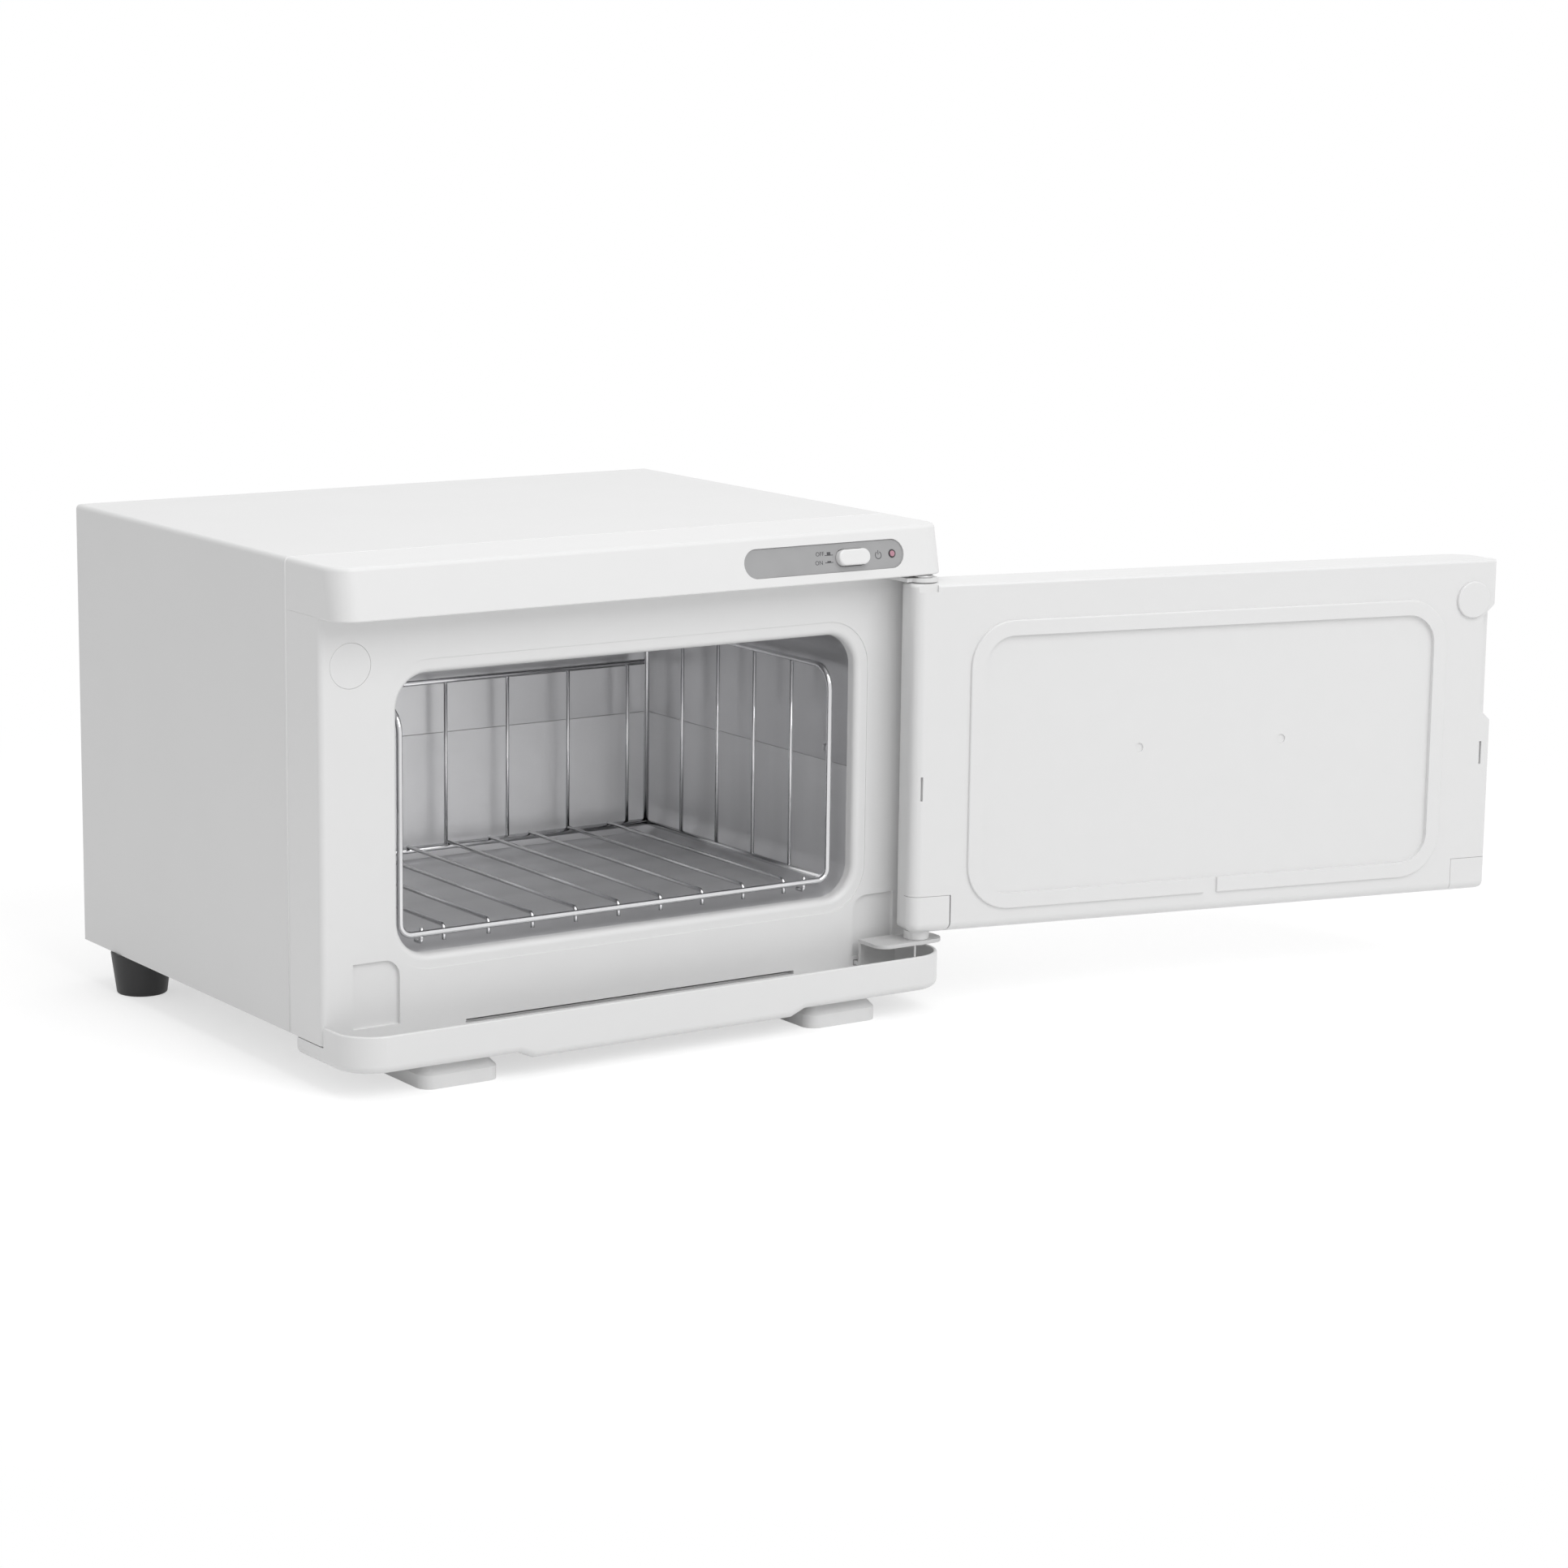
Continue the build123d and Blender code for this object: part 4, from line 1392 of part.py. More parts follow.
# Left front foot: stalk behind the tray and a chamfered pad that the tray slides over.
with BuildPart() as front_foot_left:
    with BuildSketch(Plane.XY.offset(FLOOR_Z)):
        with Locations((-FRONT_FOOT_X, FRONT_PAD_FRONT)):
            Rectangle(FRONT_FOOT_W, STALK_BACK - FRONT_PAD_FRONT, align=(Align.CENTER, Align.MIN))
        fillet(vertices(), FOOT_CORNER_R)
    extrude(amount=FRONT_PAD_TOP - FLOOR_Z)
    chamfer(faces().sort_by(Axis.Z)[-1].edges(), FOOT_CHAMFER)
    with BuildSketch(Plane.XY.offset(FLOOR_Z)):
        with Locations((-FRONT_FOOT_X, STALK_FRONT)):
            Rectangle(STALK_W, STALK_BACK - STALK_FRONT, align=(Align.CENTER, Align.MIN))
    extrude(amount=-FLOOR_Z)
    with BuildSketch(Plane.XY):
        with Locations((-FRONT_FOOT_X, FRONT_SCREW_Y)):
            Circle(FOOT_HOLE_R)
    extrude(amount=-FOOT_SCREW_L - SHEET, mode=Mode.SUBTRACT)
front_foot_left.part.label = "front_foot_left"
export_step(front_foot_left.part, "parts/front_foot_left.step")

# Right front foot.
with BuildPart() as front_foot_right:
    with BuildSketch(Plane.XY.offset(FLOOR_Z)):
        with Locations((FRONT_FOOT_X, FRONT_PAD_FRONT)):
            Rectangle(FRONT_FOOT_W, STALK_BACK - FRONT_PAD_FRONT, align=(Align.CENTER, Align.MIN))
        fillet(vertices(), FOOT_CORNER_R)
    extrude(amount=FRONT_PAD_TOP - FLOOR_Z)
    chamfer(faces().sort_by(Axis.Z)[-1].edges(), FOOT_CHAMFER)
    with BuildSketch(Plane.XY.offset(FLOOR_Z)):
        with Locations((FRONT_FOOT_X, STALK_FRONT)):
            Rectangle(STALK_W, STALK_BACK - STALK_FRONT, align=(Align.CENTER, Align.MIN))
    extrude(amount=-FLOOR_Z)
    with BuildSketch(Plane.XY):
        with Locations((FRONT_FOOT_X, FRONT_SCREW_Y)):
            Circle(FOOT_HOLE_R)
    extrude(amount=-FOOT_SCREW_L - SHEET, mode=Mode.SUBTRACT)
front_foot_right.part.label = "front_foot_right"
export_step(front_foot_right.part, "parts/front_foot_right.step")

# Left rear rubber foot.
with BuildPart() as rear_foot_left:
    with BuildSketch(Plane.XY.offset(FLOOR_Z)):
        with Locations((-REAR_FOOT_X, REAR_FOOT_Y)):
            Circle(REAR_FOOT_LOW_R)
    with BuildSketch(Plane.XY):
        with Locations((-REAR_FOOT_X, REAR_FOOT_Y)):
            Circle(REAR_FOOT_TOP_R)
    loft()
    with BuildSketch(Plane.XY):
        with Locations((-REAR_FOOT_X, REAR_FOOT_Y)):
            Circle(FOOT_HOLE_R)
    extrude(amount=-FOOT_SCREW_L - SHEET, mode=Mode.SUBTRACT)
rear_foot_left.part.label = "rear_foot_left"
export_step(rear_foot_left.part, "parts/rear_foot_left.step")

# Right rear rubber foot.
with BuildPart() as rear_foot_right:
    with BuildSketch(Plane.XY.offset(FLOOR_Z)):
        with Locations((REAR_FOOT_X, REAR_FOOT_Y)):
            Circle(REAR_FOOT_LOW_R)
    with BuildSketch(Plane.XY):
        with Locations((REAR_FOOT_X, REAR_FOOT_Y)):
            Circle(REAR_FOOT_TOP_R)
    loft()
    with BuildSketch(Plane.XY):
        with Locations((REAR_FOOT_X, REAR_FOOT_Y)):
            Circle(FOOT_HOLE_R)
    extrude(amount=-FOOT_SCREW_L - SHEET, mode=Mode.SUBTRACT)
rear_foot_right.part.label = "rear_foot_right"
export_step(rear_foot_right.part, "parts/rear_foot_right.step")

# Four screws from the base plate down into the feet.
with BuildPart() as foot_screws:
    with BuildSketch(Plane.XY.offset(BASE_T)):
        with Locations(*FOOT_SCREWS):
            Circle(HEAD_R)
    extrude(amount=HEAD_H)
    with BuildSketch(Plane.XY.offset(BASE_T)):
        with Locations(*FOOT_SCREWS):
            Circle(FOOT_SCREW_R)
    extrude(amount=-BASE_T - FOOT_SCREW_L)
foot_screws.part.label = "foot_screws"
export_step(foot_screws.part, "parts/foot_screws.step")
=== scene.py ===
"""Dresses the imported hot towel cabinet, in metres, in the frame of its solids.

One section for each piece or group of like pieces, in the order of assembly.
"""
import bmesh
import bpy
import json
import math
from mathutils import Matrix, Vector


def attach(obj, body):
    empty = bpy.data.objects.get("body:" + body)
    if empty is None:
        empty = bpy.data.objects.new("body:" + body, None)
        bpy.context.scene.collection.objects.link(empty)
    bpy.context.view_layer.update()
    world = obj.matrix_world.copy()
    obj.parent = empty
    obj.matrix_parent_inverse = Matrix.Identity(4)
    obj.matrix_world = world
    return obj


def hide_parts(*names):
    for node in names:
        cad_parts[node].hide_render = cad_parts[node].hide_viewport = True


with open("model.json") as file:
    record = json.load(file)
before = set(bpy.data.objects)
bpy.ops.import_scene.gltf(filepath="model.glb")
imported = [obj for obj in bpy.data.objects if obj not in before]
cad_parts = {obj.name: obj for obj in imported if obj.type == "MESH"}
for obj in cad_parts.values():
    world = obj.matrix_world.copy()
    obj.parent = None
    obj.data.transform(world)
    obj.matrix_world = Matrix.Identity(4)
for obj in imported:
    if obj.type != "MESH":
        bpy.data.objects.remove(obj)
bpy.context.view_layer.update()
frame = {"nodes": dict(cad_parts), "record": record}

# ---------------------------------------------------------------- steel casing
# Folded sheet steel wrap, base pan and rear panel, coated with white powder paint
# that leaves a fine orange peel. The rear panel is screwed on over the wrap's flange.
MM = 0.001
NODES = frame["nodes"]
BODY_OF = {node: body for body, nodes in frame["record"]["behaviour"]["bodies"].items() for node in nodes}
WELD = 0.002
FLAT = math.radians(0.2)
EASED_EDGE = math.radians(32)
CREASE = math.radians(40)
PEEL_HEIGHT = 0.3
GLOSS_SPREAD = 0.12
DRIFT_PER_GRAIN = 1 / 40
DRIFT_STOPS = (0.35, 0.65)


def finish(name, colour, rough, metal=0.0, grain=900, peel=0.03, drift=0.01, stretch=(1, 1, 1)):
    """A surface finish: fine grain in height and gloss, slow drift in colour."""
    paint = bpy.data.materials.new(name)
    paint.use_nodes = True
    nodes, links = paint.node_tree.nodes, paint.node_tree.links
    shader = nodes["Principled BSDF"]
    shader.inputs["Metallic"].default_value = metal
    place = nodes.new("ShaderNodeTexCoord")
    turn = nodes.new("ShaderNodeMapping")
    turn.inputs["Scale"].default_value = stretch
    links.new(place.outputs["Object"], turn.inputs["Vector"])
    fine = nodes.new("ShaderNodeTexNoise")
    fine.inputs["Scale"].default_value = grain
    fine.inputs["Detail"].default_value = 3
    broad = nodes.new("ShaderNodeTexNoise")
    broad.inputs["Scale"].default_value = grain * DRIFT_PER_GRAIN
    broad.inputs["Detail"].default_value = 2
    for noise in (fine, broad):
        links.new(turn.outputs["Vector"], noise.inputs["Vector"])
    shade = nodes.new("ShaderNodeValToRGB")
    for stop, at, shift in zip(shade.color_ramp.elements, DRIFT_STOPS, (-drift, drift)):
        stop.position = at
        stop.color = [min(1, c * (1 + shift)) for c in colour] + [1]
    links.new(broad.outputs["Fac"], shade.inputs["Fac"])
    links.new(shade.outputs["Color"], shader.inputs["Base Color"])
    gloss = nodes.new("ShaderNodeMapRange")
    gloss.inputs["To Min"].default_value = rough * (1 - GLOSS_SPREAD)
    gloss.inputs["To Max"].default_value = rough * (1 + GLOSS_SPREAD)
    links.new(fine.outputs["Fac"], gloss.inputs["Value"])
    links.new(gloss.outputs["Result"], shader.inputs["Roughness"])
    bump = nodes.new("ShaderNodeBump")
    bump.inputs["Strength"].default_value = peel
    bump.inputs["Distance"].default_value = PEEL_HEIGHT * MM
    links.new(fine.outputs["Fac"], bump.inputs["Height"])
    links.new(bump.outputs["Normal"], shader.inputs["Normal"])
    return paint


def coat(coating, *nodes):
    """Puts a finish on solids that stay as they are."""
    for node in nodes:
        NODES[node].data.materials.clear()
        NODES[node].data.materials.append(coating)


def fit(name, shape, coating, body):
    """Makes a piece of the shape, coats it and lets it ride on its body."""
    mesh = bpy.data.meshes.new(name)
    shape.to_mesh(mesh)
    shape.free()
    mesh.materials.append(coating)
    piece = bpy.data.objects.new(name, mesh)
    bpy.context.scene.collection.objects.link(piece)
    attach(piece, body)
    return piece


def eased(node, coating, edge=0.4, skip=None):
    """A copy of a solid with its sharp edges eased, which stands for the solid."""
    shape = bmesh.new()
    shape.from_mesh(NODES[node].data)
    bmesh.ops.remove_doubles(shape, verts=shape.verts, dist=WELD * MM)
    bmesh.ops.dissolve_limit(shape, angle_limit=FLAT, verts=shape.verts, edges=shape.edges)
    sharp = [e for e in shape.edges if len(e.link_faces) == 2 and e.calc_face_angle(0) > EASED_EDGE]
    if skip:
        sharp = [e for e in sharp if not skip((e.verts[0].co + e.verts[1].co) / 2 / MM)]
    bmesh.ops.bevel(
        shape, geom=sharp, offset=edge * MM, segments=3, profile=0.5, affect="EDGES", material=-1,
        clamp_overlap=True,
    )
    for face in shape.faces:
        face.smooth = True
    for side in shape.edges:
        side.smooth = not (len(side.link_faces) == 2 and side.calc_face_angle(0) > CREASE)
    piece = fit(node + "_finished", shape, coating, BODY_OF[node])
    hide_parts(node)
    piece.modifiers.new("even_shading", "WEIGHTED_NORMAL").keep_sharp = True
    return piece


white_paint = finish("white_powder_paint", (0.78, 0.78, 0.78), 0.40, grain=700, peel=0.10, drift=0.005)
for node in ("body_wrap", "base_plate", "back_panel"):
    eased(node, white_paint, edge=0.3)

# ---------------------------------------------------------------- front moulding
# White ABS front frame and hollow top fascia, moulded with a satin face. They meet
# flush on the cabinet's sides, and tabs behind the frame reach into the steel wrap.
FASCIA_FOOT = 205.4
FASCIA_BEND_Y = -147
SIDE_WALL_X = 172.4
JOINT_REACH = 0.2
white_plastic = finish("white_satin_abs", (0.80, 0.80, 0.80), 0.32, grain=2600, peel=0.02, drift=0.003)


def side_joint(middle):
    """The edges where frame and fascia meet flush on the cabinet's sides."""
    return abs(middle.z - FASCIA_FOOT) < JOINT_REACH and middle.y > FASCIA_BEND_Y


frame_face = eased("front_frame", white_plastic, edge=0.35, skip=side_joint)
eased("top_fascia", white_plastic, edge=0.5, skip=side_joint)

# The frame's side walls reach a little way up inside the fascia.
OVERLAP_UP = 0.3
OVERLAP_IN = 0.01
for corner in frame_face.data.vertices:
    if abs(corner.co.z / MM - FASCIA_FOOT) < JOINT_REACH and abs(corner.co.x) / MM > SIDE_WALL_X:
        corner.co.z += OVERLAP_UP * MM
        corner.co.x -= math.copysign(OVERLAP_IN * MM, corner.co.x)

# The moulding's rear lip: a fine bead that stands proud of the steel along the seam, its paler white a
# painted highlight.
RIGHT = (1, 0, 0)
AHEAD = (0, -1, 0)
BACK = (0, 1, 0)
UP = (0, 0, 1)
DOWN = (0, 0, -1)
WIRE_SIDES = 10
BEND_STEPS = 6


def bend_wire(shape, radius, start, aim, moves):
    """Grows a round wire: a number is a straight run, a pair a new direction and its bend radius."""
    here = Vector(start)
    aim = Vector(aim)
    place = Matrix.Translation(here) @ aim.to_track_quat("Z", "Y").to_matrix().to_4x4()
    ring = bmesh.ops.create_circle(shape, cap_ends=True, segments=WIRE_SIDES, radius=radius, matrix=place)
    rim = list(dict.fromkeys(e for v in ring["verts"] for e in v.link_edges))
    for move in moves:
        if isinstance(move, (int, float)):
            grown = bmesh.ops.extrude_edge_only(shape, edges=rim)["geom"]
            tip = [v for v in grown if isinstance(v, bmesh.types.BMVert)]
            bmesh.ops.translate(shape, verts=tip, vec=aim * move)
            edges = [e for e in grown if isinstance(e, bmesh.types.BMEdge)]
            rim = [e for e in edges if all(v in tip for v in e.verts)]
            here = here + aim * move
        else:
            toward = Vector(move[0])
            bend = move[1]
            middle = here + toward * bend
            grown = bmesh.ops.spin(
                shape, geom=rim, cent=middle, axis=aim.cross(toward), angle=math.pi / 2, steps=BEND_STEPS,
                use_merge=False, use_duplicate=False,
            )["geom_last"]
            rim = [e for e in grown if isinstance(e, bmesh.types.BMEdge)]
            here = here + (toward + aim) * bend
            aim = toward
    bmesh.ops.holes_fill(shape, edges=rim)


LIP = 0.7
LIP_X = 174.7
LIP_Y = -99.5
LIP_TOP = 229.95
LIP_BEND = 2.0
LIP_LOW = 0.5
# The lip's white is paler than the moulding's as a painted highlight along the bead; the bead is the
# moulding's own plastic.
lip_painted_highlight = finish("white_abs_painted_highlight", (0.88, 0.88, 0.88), 0.22, grain=2600, peel=0.02, drift=0.005)
lip = bmesh.new()
lip_rise = LIP_TOP - LIP_BEND - LIP_LOW
bend_wire(
    lip, LIP, (-LIP_X, LIP_Y, LIP_LOW), UP,
    (lip_rise, (RIGHT, LIP_BEND), 2 * (LIP_X - LIP_BEND), (DOWN, LIP_BEND), lip_rise),
)
bmesh.ops.recalc_face_normals(lip, faces=lip.faces)
bmesh.ops.scale(lip, verts=lip.verts, vec=(MM, MM, MM))
for face in lip.faces:
    face.smooth = len(face.verts) == 4
fit("seam_lip", lip, lip_painted_highlight, "cabinet")

# ---------------------------------------------------------------- controls
# Grey printed inlay sunk in the fascia, a white push button, and a pink lamp lens
# in a black bezel. Behind them are the switch, the lamp and their small board.
grey_print = finish("grey_inlay_print", (0.36, 0.36, 0.365), 0.42, grain=3000, peel=0.03, drift=0.02)
black_plastic = finish("black_matt_plastic", (0.025, 0.025, 0.027), 0.45, grain=1800, peel=0.06, drift=0.1)
lens_red = finish("pink_lamp_lens", (0.47, 0.24, 0.30), 0.15, grain=1500, drift=0.05)
board_green = finish("green_solder_mask", (0.03, 0.16, 0.07), 0.40, grain=900, drift=0.15)
zinc = finish("zinc_plated_steel", (0.58, 0.58, 0.58), 0.30, metal=1.0, grain=900, peel=0.08, drift=0.05)
resin = finish("lamp_resin", (0.80, 0.70, 0.32), 0.30, grain=900, drift=0.05)
eased("control_plate", grey_print, edge=0.2)
eased("power_button", white_plastic, edge=1.0)
eased("indicator_bezel", black_plastic, edge=0.2)
eased("indicator_lens", lens_red, edge=0.3)
coat(black_plastic, "push_switch")
coat(board_green, "control_board")
coat(zinc, "board_screws")
coat(resin, "indicator_diode")

# Marks printed on the inlay: ON and OFF with the button's two states, and the
# standard power sign beside the lamp. Each is a film of dark ink.
FASCIA_LEAN = 5.48
FASCIA_RISE = 25.1
TILT = math.atan(FASCIA_LEAN / FASCIA_RISE)
INLAY_MIDDLE = (99.75, -150.33, 217.6)
INLAY_SUNK = 0.8
INK_T = 0.05
LETTER_H = 2.1
CAP_SHARE = 0.7
LETTER_WELD = 0.0005
STATE_LINE = (5.0, 0.35)
STATE_BUTTON_W = 2.2
ink = finish("dark_grey_ink", (0.07, 0.07, 0.075), 0.5, grain=2500, drift=0.1)
inlay_place = Matrix.Translation(Vector(INLAY_MIDDLE) * MM) @ Matrix.Rotation(math.pi / 2 - TILT, 4, "X")


def print_mark(name, shape, x, y):
    """Lays a flat mark, drawn in millimetres, on the inlay."""
    bmesh.ops.transform(shape, matrix=Matrix.Scale(MM, 4), verts=shape.verts)
    bmesh.ops.translate(shape, verts=shape.verts, vec=Vector((x, y, -INLAY_SUNK)) * MM)
    grown = bmesh.ops.extrude_face_region(shape, geom=shape.faces[:])
    tops = [v for v in grown["geom"] if isinstance(v, bmesh.types.BMVert)]
    bmesh.ops.translate(shape, verts=tops, vec=(0, 0, INK_T * MM))
    bmesh.ops.recalc_face_normals(shape, faces=shape.faces)
    bmesh.ops.transform(shape, matrix=inlay_place, verts=shape.verts)
    fit(name, shape, ink, "cabinet")


def letters(words):
    """Flat letters as a mesh, centred on their place."""
    curve = bpy.data.curves.new(words, "FONT")
    curve.body = words
    curve.align_x = "CENTER"
    curve.align_y = "CENTER"
    curve.size = LETTER_H / CAP_SHARE
    maker = bpy.data.objects.new(words, curve)
    bpy.context.scene.collection.objects.link(maker)
    bpy.context.view_layer.update()
    mesh = bpy.data.meshes.new_from_object(maker.evaluated_get(bpy.context.evaluated_depsgraph_get()))
    bpy.data.objects.remove(maker)
    shape = bmesh.new()
    shape.from_mesh(mesh)
    bmesh.ops.remove_doubles(shape, verts=shape.verts, dist=LETTER_WELD)
    return shape


def add_bar(shape, wide, high, y):
    """Draws a plain bar, centred across."""
    bar = bmesh.ops.create_grid(shape, x_segments=1, y_segments=1, size=0.5)["verts"]
    bmesh.ops.scale(shape, verts=bar, vec=(wide, high, 1))
    bmesh.ops.translate(shape, verts=bar, vec=(0, y, 0))


def button_state(rise):
    """A line with the button drawn on it, high or low."""
    shape = bmesh.new()
    add_bar(shape, *STATE_LINE, 0)
    add_bar(shape, STATE_BUTTON_W, rise, rise / 2)
    return shape


print_mark("mark_off", letters("OFF"), -2.3, 2.4)
print_mark("mark_on", letters("ON"), -3.3, -2.0)
print_mark("mark_button_out", button_state(1.6), 3.0, 1.6)
print_mark("mark_button_in", button_state(0.8), 2.9, -2.1)

SIGN_OUT = 2.0
SIGN_IN = 1.6
SIGN_GAP_HALF = 0.75
SIGN_BAR = (0.4, 2.1)
SIGN_BAR_UP = 1.4
power_sign = bmesh.new()
for radius in (SIGN_OUT, SIGN_IN):
    bmesh.ops.create_circle(power_sign, segments=40, radius=radius)
bmesh.ops.bridge_loops(power_sign, edges=power_sign.edges[:])
middles = [(face, face.calc_center_median()) for face in power_sign.faces]
gap = [face for face, middle in middles if middle.y > 0 and abs(middle.x) < SIGN_GAP_HALF]
bmesh.ops.delete(power_sign, geom=gap, context="FACES")
add_bar(power_sign, *SIGN_BAR, SIGN_BAR_UP)
print_mark("mark_power", power_sign, 33.2, -0.3)

# ---------------------------------------------------------------- chamber liner
# Two pressed aluminium shells, satin from rolling, that meet at a seam in the walls;
# the lower is paler and duller. One rivet head shows on the right wall near the front.
ROLLING = (1, 14, 1)
liner_metal = finish(
    "rolled_aluminium", (0.66, 0.66, 0.67), 0.36, metal=1.0, grain=120, peel=0.05, drift=0.04,
    stretch=ROLLING,
)
floor_metal = finish(
    "rolled_aluminium_floor", (0.82, 0.82, 0.83), 0.50, metal=0.9, grain=120, peel=0.05, drift=0.04,
    stretch=ROLLING,
)
eased("liner_upper", liner_metal, edge=0.3)
eased("liner_lower", floor_metal, edge=0.3)

RIVET_R = 2.0
RIVET_FLAT = 0.4
RIVET_AT = (132.75, -106, 112)
rivet = bmesh.new()
bmesh.ops.create_uvsphere(rivet, u_segments=20, v_segments=10, radius=RIVET_R * MM)
ball = rivet.verts[:] + rivet.edges[:] + rivet.faces[:]
bmesh.ops.bisect_plane(rivet, geom=ball, plane_co=(0, 0, 0), plane_no=(1, 0, 0), clear_outer=True)
bmesh.ops.holes_fill(rivet, edges=[e for e in rivet.edges if e.is_boundary])
bmesh.ops.scale(rivet, verts=rivet.verts, vec=(RIVET_FLAT, 1, 1))
bmesh.ops.translate(rivet, verts=rivet.verts, vec=Vector(RIVET_AT) * MM)
for face in rivet.faces:
    face.smooth = True
fit("liner_rivet", rivet, liner_metal, "cabinet")

# ---------------------------------------------------------------- heating and lagging
# Silicone heating mat, thermostat and fuse bonded to the liner, inside a felted
# wool jacket, with their insulated leads.
silicone = finish("red_silicone_mat", (0.50, 0.10, 0.04), 0.65, grain=1500, peel=0.2, drift=0.1)
felt = finish("felted_wool", (0.75, 0.72, 0.62), 0.90, grain=500, peel=0.9, drift=0.12)
lead_skin = finish("grey_lead_skin", (0.60, 0.60, 0.57), 0.50, grain=1500, drift=0.05)
coat(silicone, "heater_pad")
coat(black_plastic, "thermostat")
coat(zinc, "thermal_fuse")
coat(felt, "insulation")
coat(lead_skin, "mains_leads", "heater_leads", "switch_leads")

# ---------------------------------------------------------------- mains inlet
# Black appliance inlet with three brass blades, and the terminal block its leads end
# in. Plated screws hold the inlet to the rear panel and the panel to the casing.
brass = finish("bright_brass", (0.66, 0.48, 0.18), 0.22, metal=1.0, grain=900, drift=0.04)
eased("power_inlet", black_plastic, edge=0.4)
eased("inlet_blades", brass, edge=0.2)
coat(black_plastic, "terminal_block")
coat(zinc, "inlet_screws", "back_panel_screws")

# ---------------------------------------------------------------- wire basket
# Chromed steel wire: a thick wire bent round the front and both sides, with rails and
# thin wires welded to it. The floor wires are hooked down at the front.
FRAME_WIRE = 1.5
THIN_WIRE = 1.0
SIDE_X = 125.5
FRONT_Y = -119.7
REAR_Y = 54.5
BACK_Y = 56.0
LOW_Z = 45.5
SIDE_TOP = 156.5
BACK_TOP = 134.7
HOOK_TIP_Z = 40.5
SIDE_PITCH = 34.6
BACK_PITCH = 38
FLOOR_PITCH = 25
HOOK_X = 112.5
TOP_BEND = 12
LOW_BEND = 6
chrome = finish("chromed_wire", (0.70, 0.70, 0.71), 0.13, metal=1.0, grain=900, peel=0.03, drift=0.03)


def chromed(name, shape, *nodes):
    """Scales a grille drawn in millimetres, fits it to the cabinet and lets it stand for its solids."""
    bmesh.ops.recalc_face_normals(shape, faces=shape.faces)
    bmesh.ops.scale(shape, verts=shape.verts, vec=(MM, MM, MM))
    for face in shape.faces:
        face.smooth = len(face.verts) == 4
    piece = fit(name, shape, chrome, "cabinet")
    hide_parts(*nodes)


side_frames = bmesh.new()
climb = SIDE_TOP - LOW_Z
post = climb - TOP_BEND - LOW_BEND
rail = REAR_Y - FRONT_Y - TOP_BEND - LOW_BEND
bend_wire(
    side_frames, FRAME_WIRE, (-SIDE_X, REAR_Y, LOW_Z), UP,
    (
        climb - LOW_BEND, (AHEAD, LOW_BEND), rail, (DOWN, TOP_BEND),
        post, (RIGHT, LOW_BEND), 2 * (SIDE_X - LOW_BEND), (UP, LOW_BEND),
        post, (BACK, TOP_BEND), rail, (DOWN, LOW_BEND), climb - LOW_BEND,
    ),
)
for x in (-SIDE_X, SIDE_X):
    bend_wire(side_frames, FRAME_WIRE, (x, FRONT_Y + LOW_BEND, LOW_Z), BACK, (REAR_Y - FRONT_Y - LOW_BEND,))
    for step in (1, 2, 3, 4):
        bend_wire(side_frames, THIN_WIRE, (x, FRONT_Y + SIDE_PITCH * step, LOW_Z), UP, (climb,))
chromed("basket_side_frames", side_frames, "basket_left", "basket_right")

rear_grille = bmesh.new()
for z in (LOW_Z, BACK_TOP):
    bend_wire(rear_grille, FRAME_WIRE, (-SIDE_X, BACK_Y, z), RIGHT, (2 * SIDE_X,))
for step in range(-3, 4):
    bend_wire(rear_grille, THIN_WIRE, (BACK_PITCH * step, BACK_Y, LOW_Z), UP, (BACK_TOP - LOW_Z,))
chromed("basket_rear_grille", rear_grille, "basket_back")

HOOK = 2.5
CATCH_BEND = 2
CATCH = 4
WELD_SINK = 0.2
REAR_IN = 3
floor_grille = bmesh.new()
floor_back = BACK_Y - REAR_IN
over = LOW_Z + FRAME_WIRE + THIN_WIRE - WELD_SINK
run = floor_back - FRONT_Y - FRAME_WIRE - THIN_WIRE - HOOK
bend_wire(floor_grille, FRAME_WIRE, (-SIDE_X, floor_back, LOW_Z), RIGHT, (2 * SIDE_X,))
for step in range(-4, 5):
    hooked_end = (run, (DOWN, HOOK), over - HOOK - HOOK_TIP_Z)
    bend_wire(floor_grille, THIN_WIRE, (FLOOR_PITCH * step, floor_back, over), AHEAD, hooked_end)
for x in (-HOOK_X, HOOK_X):
    catch = (over - HOOK_TIP_Z - CATCH_BEND, (BACK, CATCH_BEND), CATCH)
    bend_wire(floor_grille, THIN_WIRE, (x, FRONT_Y + FRAME_WIRE + THIN_WIRE, over), DOWN, catch)
chromed("basket_floor_grille", floor_grille, "basket_floor")

# ---------------------------------------------------------------- door
# Two white ABS mouldings round a foam core. The inner one carries the raised rim,
# the keeper with its round cap, and a cover in each lower corner.
foam = finish("white_bead_foam", (0.80, 0.80, 0.75), 0.90, grain=400, peel=0.6, drift=0.05)
keeper_metal = finish("plain_steel", (0.55, 0.55, 0.55), 0.30, metal=1.0, grain=900, drift=0.05)
eased("door_shell", white_plastic, edge=0.4)
eased("door_panel", white_plastic, edge=0.25)
eased("keeper_cap", white_plastic, edge=0.3)
eased("far_corner_cover", white_plastic, edge=0.25)
eased("near_corner_cover", white_plastic, edge=0.25)
coat(foam, "door_core")
coat(keeper_metal, "door_keeper")
coat(white_plastic, "hinge_bushes")
